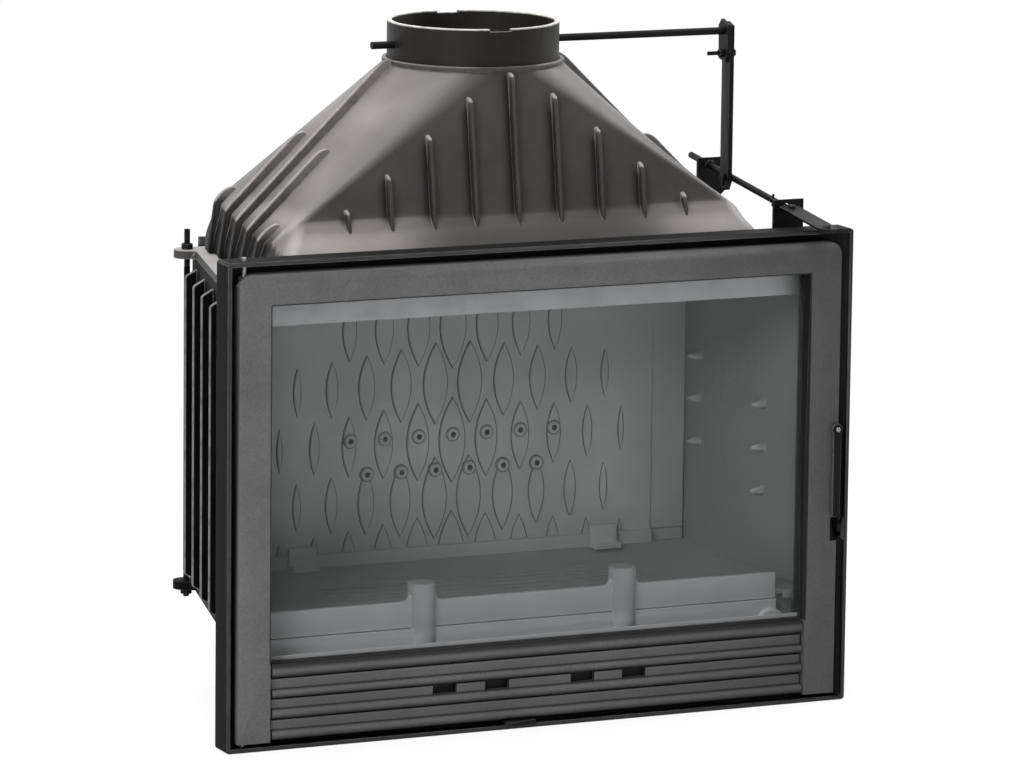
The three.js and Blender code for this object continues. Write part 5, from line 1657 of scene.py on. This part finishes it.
@dataclass
class SmokeHood:
    """The hood: a flared skin between a tapering base and a round throat, with fins and ribs."""

    workshop: Workshop
    form: Form = field(default_factory=Form)
    base: float = 534.3 * MM
    top: float = 768 * MM
    flue: float = 56 * MM
    side_half: float = 293.98 * MM
    taper: float = 0.0985
    front_base: float = -118 * MM
    rear_base: float = 196 * MM
    front_inset: float = 44 * MM
    side_inset: float = 10 * MM
    rear_inset: float = 10 * MM
    side_shoulder: float = 583 * MM
    shoulder_rise: float = 0.123
    front_shoulder: float = 602 * MM
    base_corner: float = 22 * MM
    shoulder_corner: float = 42 * MM
    wall: float = 6 * MM
    flare: Pairs = ((0, 0), (0.3, 0.05), (0.53, 0.36), (0.76, 0.73), (1, 1))
    flare_steps: int = 12
    softening: float = 0.06
    corner_steps: int = 12
    rise_steps: int = 8
    flat_share: float = 0.1
    fin_tops: tuple[float, ...] = (0.06, 0.48, 0.985, 0.46, 0.063)
    fin_pitch: float = 44 * MM
    fin_out: float = 9 * MM
    fin_rise: float = 5.6 * MM
    fin_thick: float = 5 * MM
    fin_root: float = 20 * MM
    fin_slope: float = 1.035
    fin_nose: float = 15 * MM
    rib_tops: tuple[float, ...] = (0.17, 0.38, 0.62, 0.85, 1.0)
    rib_pitch: float = 54.2 * MM
    rib_thick: float = 5 * MM
    rib_out: float = 10 * MM
    rib_foot: float = 582 * MM
    rib_reach: float = 180 * MM
    rib_nose: float = 9 * MM
    rib_throat: float = 105.4 * MM
    collar_rim: float = 810.9 * MM
    throat: float = 106.4 * MM
    inner_throat: Pair = (96 * MM, 754 * MM)
    lip: Pairs = in_metres(
        (107.8, 762.8), (108.4, 763.6), (108.4, 766.8), (107.8, 767.7), (107, 768), (103.6, 768),
        (102.8, 767.2), (102.7, 760), (97, 760), (96, 759),
    )

    def build(self) -> None:
        """Build hood and collar."""
        self.skin()
        self.fins()
        self.ribs()
        self.workshop.put("flared_hood", self.form, "hood", crease=34.0)
        self.workshop.soften_worn("flue_collar", self.collar_rim, amount=0.95, crease=24.0)

    def half_at(self, y: float) -> float:
        """Half width at the shoulder, at a depth."""
        return self.side_half + (self.flue - y) * self.taper

    def shoulder_at(self, y: float) -> float:
        """Height of the side shoulder at a depth."""
        return self.side_shoulder + (y - self.flue) * self.shoulder_rise

    def outline(self, height_share: float, inset_share: float, inset: float) -> list[Place]:
        """One ring of the flared skin.

        Args:
            height_share: its height, from base to shoulder.
            inset_share: how far the flare has come in.
            inset: how far the whole ring is taken in, for the inner skin.

        Returns:
            The ring's points.
        """
        front = self.front_base + self.front_inset * inset_share + inset
        rear = self.rear_base - self.rear_inset * inset_share - inset
        reach = self.base_corner + (self.shoulder_corner - self.base_corner) * inset_share
        side = -self.side_inset * (1 - inset_share) + inset
        ends = [(-1, front), (1, front), (1, rear), (-1, rear)]
        places = [Vector((turn * (self.half_at(y) - side), y)) for turn, y in ends]
        points = []
        for i, here in enumerate(places):
            before = (places[i - 1] - here).normalized() * reach
            after = (places[(i + 1) % 4] - here).normalized() * reach
            for step in range(self.corner_steps + 1):
                share = step / self.corner_steps
                point = (here + before * (1 - share)).lerp(here + after * share, share)
                ahead = share if i % 2 == 0 else 1 - share
                eased = ahead * ahead * (3 - 2 * ahead)
                shoulder = self.shoulder_at(point.y) * (1 - eased) + self.front_shoulder * eased
                height = self.base + (shoulder - inset - self.base) * height_share
                points.append((point.x, point.y, height))
        return points

    def circle(self, radius: float, height: float) -> list[Place]:
        """A round ring whose points answer those of the outline."""
        points = []
        for corner in range(4):
            for step in range(self.corner_steps + 1):
                share = self.flat_share + (1 - 2 * self.flat_share) * step / self.corner_steps
                angle = math.pi + (corner + share) * math.pi / 2
                x, y = radius * math.cos(angle), self.flue + radius * math.sin(angle)
                points.append((x, y, height))
        return points

    def flare_at(self, height_share: float) -> float:
        """How far the flare has come in at a height, straight between its set points."""
        height_share = min(1.0, max(0.0, height_share))
        for (low, first), (high, second) in zip(self.flare, self.flare[1:]):
            if height_share <= high:
                break
        return first + (second - first) * ((height_share - low) / (high - low))

    def rise(self, inset: float, radius: float, height: float) -> list[list[Place]]:
        """All rings from the base up to the throat.

        Args:
            inset: how far the skin is taken in.
            radius: the throat's radius.
            height: the throat's height.

        Returns:
            The rings, from the base up.
        """
        shares = [i / self.flare_steps for i in range(self.flare_steps + 1)]
        nudges = (-self.softening, 0.0, self.softening)
        softened = [sum(self.flare_at(share + nudge) for nudge in nudges) / 3 for share in shares]
        softened[0], softened[-1] = 0.0, 1.0
        rings = [self.outline(share, flared, inset) for share, flared in zip(shares, softened)]
        shoulder, throat = rings[-1], self.circle(radius, height)
        for step in range(1, self.rise_steps + 1):
            share = step / self.rise_steps
            rings.append([
                tuple(Vector(low).lerp(Vector(high), share)) for low, high in zip(shoulder, throat)
            ])
        return rings

    def skin(self) -> None:
        """The closed skin with its wall, throat, socket and lip."""
        outer = self.rise(0.0, self.throat, self.top - 5.5 * MM)
        lip = [self.circle(radius, height) for radius, height in self.lip]
        inner = self.rise(self.wall, *self.inner_throat)
        self.form.loft(outer + lip + inner[::-1], looped=True)

        def shaded(point: Vector) -> float:
            """Painted shade on the side's upright foot between its fins."""
            beside = abs(point.x) > self.half_at(point.y) - 3 * MM
            low = min(1.0, max(0.0, (self.side_shoulder + 4 * MM - point.z) / (14 * MM)))
            return 1.06 * low if beside else 0.0

        self.form.mark(0, crease=shaded)

    def fins(self) -> None:
        """The slanted fins of both sides."""
        plate = Plate(Axis.Y, corner=7 * MM, edge=1.9 * MM, worn=0.9)
        nose = self.fin_nose
        for i, share in enumerate(self.fin_tops):
            place = self.flue + ((len(self.fin_tops) - 1) / 2 - i) * self.fin_pitch
            corner = self.half_at(place) + self.fin_out
            height = self.shoulder_at(place) + self.fin_rise
            foot = corner + self.side_inset
            top = height + (self.top - height) * share
            end = corner - (top - height) * self.fin_slope
            outline = [
                (foot - self.fin_root, self.base), (foot, self.base), (corner, height), (end, top),
                (end - nose * 0.5, top + nose * 0.26), (end - nose, top + nose * 0.33),
                (end - nose * 1.7, top - nose * 0.8),
                (corner - self.fin_root, height - self.fin_out),
            ]
            near, far = place - self.fin_thick / 2, place + self.fin_thick / 2

            def dark(point: Vector) -> float:
                """Painted shade on the fin: most at its foot."""
                return 1.06 if point.z < height - self.fin_rise * 0.6 else 0.0

            def painted_highlight(point: Vector) -> float:
                """Painted light on the fin's slanted front face."""
                return 0.7 if point.y < near + 0.1 * MM and point.z > height else 0.0

            for side in (-1, 1):
                start = len(self.form.points)
                plate.add_to(self.form, [(side * x, z) for x, z in outline], near, far)
                self.form.mark(start, crease=dark, worn=painted_highlight)

    def ribs(self) -> None:
        """The upright ribs of the front panel, each with a rounded hook at its top."""
        plate = Plate(Axis.X, corner=5 * MM, edge=1.9 * MM)
        shoulder = self.front_base + self.front_inset
        slope = (self.flue - self.rib_throat - shoulder) / (self.top - self.front_shoulder)
        out, nose = self.rib_out, self.rib_nose
        for i in range(1 - len(self.rib_tops), len(self.rib_tops)):
            top = self.rib_foot + self.rib_reach * self.rib_tops[len(self.rib_tops) - 1 - abs(i)]

            def edge(height: float) -> float:
                """Depth of the rib's front edge at a height."""
                return shoulder + (height - self.front_shoulder) * slope - out

            foot = self.rib_foot
            outline = [
                (edge(foot) + out * 2, foot - nose), (edge(foot), foot), (edge(top), top - nose),
                (edge(top) + out * 0.3, top - nose * 0.25), (edge(top) + out * 1.1, top),
                (edge(top) + out * 1.4, top), (edge(top) + out * 1.4, top - nose),
                (edge(foot) + out * 2.4, self.front_shoulder),
            ]
            start = len(self.form.points)
            middle, half = i * self.rib_pitch, self.rib_thick / 2
            plate.add_to(self.form, outline, middle - half, middle + half)
            hook = top - nose * 0.6

            def painted_highlight(point: Vector) -> float:
                """Painted highlight on the rib: most at its hook."""
                return 0.8 if point.z > hook else 0.06 if point.x > middle else 0.0

            def dark(point: Vector) -> float:
                """Painted shadow on the rib: most at its left root."""
                if point.z > hook:
                    return 0.0
                sunk = min(1.0, max(0.0, (point.y - edge(point.z)) / out))
                return 0.15 + 0.85 * sunk if point.x < middle else 0.3 * (1 - sunk)

            self.form.mark(start, crease=dark, worn=painted_highlight)


@dataclass
class LowerGrille:
    """The louvred foot of the door: round bars over flat bands, with four air slots."""

    workshop: Workshop
    form: Form = field(default_factory=Form)
    half: float = 342 * MM
    face: float = -162 * MM
    back: float = -149.9 * MM
    low: float = 11 * MM
    height: float = 90 * MM
    bar_tops: tuple[float, ...] = (1.0, 0.667, 0.411, 0.133)
    bar_feet: tuple[float, ...] = (0.817, 0.55, 0.278, 0.0)
    recess: float = 6 * MM
    groove: float = 9 * MM
    groove_height: float = 1.8 * MM
    arc_steps: int = 12
    slots: tuple[float, ...] = (-122.3 * MM, -55.3 * MM, 55.3 * MM, 122.3 * MM)
    slot_half: float = 15.5 * MM
    slot_bar: int = 1
    band_points: int = 5
    # painted shade round each bar, from its top to its foot, as if lit from the front
    first_shade: tuple[float, ...] = (1, 1, 1, 1, 0.8, 0.25, 0, 0.2, 0.5, 0.8, 0.9, 1, 1)
    bar_shade: tuple[float, ...] = (0.85, 0.75, 0.45, 0.15, 0, 0, 0.15, 0.38, 0.6, 0.8, 0.95, 1, 1)

    def build(self) -> None:
        """Carry the profile from side to side, open at the slots."""
        ends = [x + side * self.slot_half for x in self.slots for side in (-1, 1)]
        edges = sorted([-self.half, self.half, *ends])
        runs = [self.run(i) for i in range(len(self.bar_tops))]
        last = self.slot_bar
        whole = [point for run in runs for point in run]
        above = [point for run in runs[: last + 1] for point in run]
        above = above[: above.index(runs[last][-1]) - self.band_points + 1]
        below = [point for run in runs[last + 1:] for point in run]
        for i, (left, right) in enumerate(zip(edges, edges[1:])):
            parts = [whole] if i % 2 == 0 else [above, below]
            for part in parts:
                closed = part + [(self.back, part[-1][1], 0.0), (self.back, part[0][1], 0.0)]
                self.carry(closed, left, right)
        self.workshop.put("louvred_grille", self.form, "lower_grille", crease=36.0)

    def run(self, number: int) -> list[Place]:
        """One bar, the groove under it and the band down to the next bar.

        Args:
            number: the bar, counted from the top.

        Returns:
            Depth, height and painted shade of each point, from the top down. A share below 0 paints
            a highlight.
        """
        top = self.low + self.height * self.bar_tops[number]
        foot = self.low + self.height * self.bar_feet[number]
        points = []
        for step in range(self.arc_steps + 1):
            turn = math.pi * step / self.arc_steps
            depth = self.face + self.recess * (1 - math.sin(turn))
            shade = (self.bar_shade if number else self.first_shade)[step]
            points.append((depth, (top + foot) / 2 + (top - foot) / 2 * math.cos(turn), shade))
        if number == len(self.bar_tops) - 1:
            return points
        after = self.low + self.height * self.bar_tops[number + 1]
        under = foot - self.groove_height
        groove, band = self.face + self.groove, self.face + self.recess
        # the groove darkened as painted shade, and a painted highlight on the band's top edge
        return points + [
            (groove, foot, 1.0), (groove, under, 1.0),
            (band + 0.3 * MM, under, 0.6), (band, under - 0.5 * MM, -0.6),
            (band, under - 2.2 * MM, 0.0), (band, after + 1.2 * MM, 0.0),
            (band + 0.05 * MM, after + 0.3 * MM, 0.7),
        ]

    def carry(self, outline: list[Place], left: float, right: float) -> None:
        """Carry a closed outline between two places and mark its painted shade.

        Args:
            outline: depth, height and painted shade of its points.
            left: where it starts.
            right: where it ends.
        """
        start = len(self.form.points)
        self.form.loft([[(x, y, z) for y, z, _ in outline] for x in (left, right)])
        for number in range(start, len(self.form.points)):
            share = outline[(number - start) % len(outline)][2]
            if share:
                self.form.marks["crease"][number] = share


@dataclass
class GlassDoor:
    """The hinged door with its glass, seal, grille, air shutter and latch."""

    workshop: Workshop
    strands: int = 4
    twist: float = 22 * MM
    seal_wide: float = 4.7 * MM
    seal_inset: float = 5 * MM
    seal_bend: float = 14 * MM
    seal_step: float = 3.5 * MM
    lever_place: float = 381.5 * MM
    lever_half: float = 5.25 * MM
    lever_top: float = 331 * MM
    lever_foot: float = 225 * MM
    lever_eye: float = 7 * MM
    tongue: Pair = (383.7 * MM, 387.2 * MM)

    def build(self) -> None:
        """Dress the door's solids and build grille, seal and latch."""
        self.workshop.soften("door_frame", "air_shutter", crease=40.0)
        LowerGrille(self.workshop).build()
        self.latch_lever()
        self.workshop.dress("door_glass")
        self.workshop.soften("glass_retainer_left", "glass_retainer_right", "glass_retainer_top")
        # the guard's finish, lighter low down, is painted light against the shade of the reveal
        self.workshop.soften("glass_retainer_bottom", finish="guard_grey")
        self.seal()
        self.latch_screw()

    def latch_lever(self) -> None:
        """Build the lever with its round eye and the tongue at its foot."""
        low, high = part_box("latch_lever")
        x, z, half, eye = self.lever_place, self.lever_top, self.lever_half, self.lever_eye
        start = math.asin(half / eye)
        turns = [-math.pi / 2 + start + i * (math.tau - 2 * start) / 20 for i in range(21)]
        outline = [(x - half, self.lever_foot), (x + half, self.lever_foot)]
        outline += [(x + eye * math.cos(turn), z + eye * math.sin(turn)) for turn in turns]
        form = Form()
        front, back = low.y, low.y + 5 * MM
        lever = Plate(Axis.Y, corner=2 * MM, edge=1.6 * MM, steps=4, worn=0.35)
        lever.add_to(form, outline, front, back)
        left, right = self.tongue
        small = Plate(Axis.Y, corner=1 * MM, edge=0.6 * MM)
        small.add_to(form, rectangle(left, right, 216 * MM, 230 * MM), front, back)
        small.add_to(form, rectangle(left, right, low.z, 222.4 * MM), front, high.y)
        self.workshop.put("rounded_latch_lever", form, "latch_lever")

    def seal_path(self) -> list[tuple[Vector, Vector, float]]:
        """Walk round the seal's groove.

        Returns:
            Place, outward direction and way travelled at each step. The last is the first again.
        """
        low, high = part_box("door_gasket")
        inset, bend = self.seal_inset, self.seal_bend
        left, right, foot, top = low.x + inset, high.x - inset, low.z + inset, high.z - inset
        path: list[tuple[Vector, Vector]] = []
        middle = (foot + top) / 2
        corners = ((right, foot, -90), (right, top, 0), (left, top, 90), (left, foot, 180))
        for x, z, start in corners:
            centre = Vector((x - math.copysign(bend, x), 0, z - math.copysign(bend, z - middle)))
            for i in range(7):
                angle = math.radians(start + 15 * i)
                out = Vector((math.cos(angle), 0, math.sin(angle)))
                path.append((centre + out * bend, out))
        walk: list[tuple[Vector, Vector, float]] = []
        travelled = 0.0
        for (here, out), (after, out_after) in zip(path, path[1:] + path[:1]):
            run = (after - here).length
            count = max(1, round(run / self.seal_step))
            for i in range(count):
                share = i / count
                ahead = out.lerp(out_after, share).normalized()
                walk.append((here.lerp(after, share), ahead, travelled + run * share))
            travelled += run
        return walk + [(*path[0], travelled)]

    def seal(self) -> None:
        """Lay the braided rope in the door's groove."""
        low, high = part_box("door_gasket")
        flat = (high.y - low.y) / 2 * 0.96
        middle = (low.y + high.y) / 2
        *walk, (_, _, travelled) = self.seal_path()
        turns = max(1, round(travelled / self.twist))
        rings = []
        for place, out, along in walk:
            phase = math.tau * along / travelled * turns
            points = []
            for i in range(16):
                angle = math.tau * i / 16
                strand = self.strands / 2 * angle
                braid = 0.5 * abs(math.cos(strand + phase)) + 0.5 * abs(math.cos(strand - phase))
                size = 0.84 + 0.16 * braid
                across = out * self.seal_wide * size * math.cos(angle)
                depth = middle + flat * size * math.sin(angle)
                points.append(place + across + Vector((0, depth, 0)))
            rings.append(points)
        form = Form()
        form.loft(rings, looped=True)
        self.workshop.put("braided_seal", form, "door_gasket", crease=70.0)

    def latch_screw(self) -> None:
        """Turn the latch's domed pivot screw."""
        low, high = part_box("latch_screw")
        radius = (high.x - low.x) / 2
        length = high.y - low.y
        head = 2 * MM
        start = Vector(((low.x + high.x) / 2, high.y, (low.z + high.z) / 2))
        profile = [
            (2.2 * MM, 0), (2.5 * MM, 0.5 * MM), (2.5 * MM, length - head), (radius, length - head),
            (radius, length - head * 0.45), (radius * 0.85, length - head * 0.12),
            (radius * 0.5, length), (radius * 0.3, length), (radius * 0.3, length - head * 0.5),
        ]
        form = Form()
        form.turned(start, -Axis.Y.vector, profile, steps=32)
        self.workshop.put("turned_latch_screw", form, "latch_screw")


@dataclass
class DamperGear:
    """The damper in the flue, its arm, and the rod that pulls it."""

    workshop: Workshop
    softened: tuple[str, ...] = (
        "damper_shaft", "damper_flap", "left_flap_screw", "right_flap_screw", "damper_arm",
        "arm_clamp", "clamp_bolt", "control_rod", "stop_pin", "pull_handle", "front_rod_bracket",
    )
    clamp_bore: float = 5.3 * MM
    rod_across: float = 345.7 * MM
    rod_holes: Pairs = in_metres((-90, 590), (117, 613.5))
    bush_length: float = 6 * MM
    bush_rings: Pairs = (
        (4.2, -1.0), (6, -1.0), (6.6, -0.8), (6.6, 0.8), (6, 1.0), (4.2, 1.0),
    )

    def build(self) -> None:
        """Dress shafts, arm and rod, and cut the hexagon heads."""
        self.workshop.soften(*self.softened)
        self.workshop.soften("handle_screw", finish="black_steel")
        self.bushed_bracket()
        for node in ("rear_bracket_bolt", "front_bracket_bolt"):
            self.workshop.nut(node, Axis.Z)
        self.workshop.nut("clamp_nut", Axis.X, self.clamp_bore)

    def bushed_bracket(self) -> None:
        """Give the rear bracket the short bush that the rod runs in."""
        front, rear = (Vector((self.rod_across, y, z)) for y, z in self.rod_holes)
        axis = (rear - front).normalized()
        side, across = Axis.X.vector, axis.cross(Axis.X.vector)
        turns = [math.tau * i / 28 for i in range(28)]
        form = Form()
        form.loft([
            [
                rear + axis * along * self.bush_length / 2
                + (side * math.cos(turn) + across * math.sin(turn)) * radius * MM
                for turn in turns
            ]
            for radius, along in self.bush_rings
        ], looped=True)
        bush = form.mesh("rear_bush")
        self.workshop.rework("fuller", "rear_rod_bracket", lambda shape: shape.from_mesh(bush))


@dataclass
class Lamp:
    """A square soft lamp."""

    name: str
    place: Place
    size: float
    power: float

    def light(self, target: Vector) -> None:
        """Hang the lamp and point it.

        Args:
            target: what it points at.
        """
        data = bpy.data.lights.new(self.name, "AREA")
        data.size = self.size
        data.energy = self.power
        lamp = shown(self.name, data)
        lamp.location = self.place
        lamp.rotation_euler = (target - Vector(self.place)).to_track_quat("-Z", "Y").to_euler()


@dataclass
class Studio:
    """Pale floor, soft light and the camera at the photograph's viewing angle."""

    eye: Place = (-3.13383, -6.92647, 1.70764)
    yaw: float = 24.708
    pitch: float = 9.884
    roll: float = 0.702
    focal_px: float = 6488.94
    shift_px: float = 17.27
    image_width: float = 1024.0
    sensor: float = 36.0
    ambient: float = 0.26
    floor_half: float = 60.0
    fading: Pair = (1.2, 3.0)
    lit: Place = (0.0, 0.0, 0.4)
    lamps: tuple[Lamp, ...] = field(default_factory=lambda: (
        Lamp("top", (-0.3, 0.3, 3.4), size=2.2, power=150.0),
        Lamp("left", (-2.9, -2.2, 2.3), size=1.6, power=104.0),
        Lamp("right", (3.3, 0.5, 2.3), size=1.8, power=104.0),
    ))

    def build(self) -> None:
        """Set up view, floor, world, lamps and camera."""
        bpy.context.scene.view_settings.view_transform = "Standard"
        self.floor()
        self.sky()
        for lamp in self.lamps:
            lamp.light(Vector(self.lit))
        self.camera()

    def seen(self, graph: Graph) -> Signal:
        """Rays that show the background: to the camera, in gloss and through glass.

        Args:
            graph: the graph that needs them.

        Returns:
            1 for those rays.
        """
        kinds = ("Camera", "Glossy", "Transmission")
        rays = [graph.add("ShaderNodeLightPath", out=f"Is {kind} Ray") for kind in kinds]
        return graph.add("ShaderNodeClamp", {}, {0: rays[0] + rays[1] + rays[2]})

    def floor(self) -> None:
        """Lay a pale floor that keeps the object's shadow."""
        graph = Graph.named("floor_finish")
        plain = graph.add("ShaderNodeBsdfDiffuse", {}, {"Color": (0.89, 0.89, 0.89)})
        white = graph.add("ShaderNodeEmission", {}, {"Color": (1.0, 1.0, 1.0), "Strength": 1.0})
        place = {0: graph.place()}
        away = graph.add("ShaderNodeVectorMath", {"operation": "LENGTH"}, place, "Value")
        share = self.seen(graph) * (0.86 + 0.14 * away.between(*self.fading))
        graph.close(graph.add("ShaderNodeMixShader", {}, {0: share, 1: plain, 2: white}))
        half = self.floor_half
        mesh = bpy.data.meshes.new("floor")
        corners = [(x, y, 0.0) for x, y in rectangle(-half, half, -half, half)]
        mesh.from_pydata(corners, [], [(0, 1, 2, 3)])
        mesh.materials.append(graph.material)
        floor = shown("floor", mesh)
        floor.location.z = -0.5 * MM
        floor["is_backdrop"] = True

    def sky(self) -> None:
        """Light the world evenly, and show it white."""
        world = bpy.data.worlds.new("studio")
        bpy.context.scene.world = world
        graph = Graph(world)
        level = self.seen(graph).blend((self.ambient,) * 3, (1.0, 1.0, 1.0))
        light = graph.add("ShaderNodeBackground", {}, {"Color": level})
        graph.close(light, "ShaderNodeOutputWorld")

    def camera(self) -> None:
        """Stand the camera where the photograph was taken."""
        yaw, pitch, roll = (math.radians(angle) for angle in (self.yaw, self.pitch, self.roll))
        level = math.cos(pitch)
        forward = Vector((math.sin(yaw) * level, math.cos(yaw) * level, -math.sin(pitch)))
        right = Vector((math.cos(yaw), -math.sin(yaw), 0))
        up = right.cross(forward)
        turned_right = right * math.cos(roll) + up * math.sin(roll)
        turned_up = up * math.cos(roll) - right * math.sin(roll)
        data = bpy.data.cameras.new("camera")
        data.sensor_width = self.sensor
        data.lens = self.focal_px * self.sensor / self.image_width
        data.shift_x = -self.shift_px / self.image_width
        data.clip_end = 200.0
        camera = shown("camera", data)
        axes = Matrix((turned_right, turned_up, -forward)).transposed().to_4x4()
        camera.matrix_world = Matrix.Translation(self.eye) @ axes
        bpy.context.scene.camera = camera


def main() -> None:
    """Build every sub-assembly in order, then the studio."""
    logging.basicConfig(level=logging.INFO, format="%(message)s")
    workshop = Workshop()
    for sub_assembly in (FrontFrame, OuterBody, FireLining, SmokeHood, GlassDoor, DamperGear):
        sub_assembly(workshop).build()
    Studio().build()


if __name__ == "__main__":
    main()
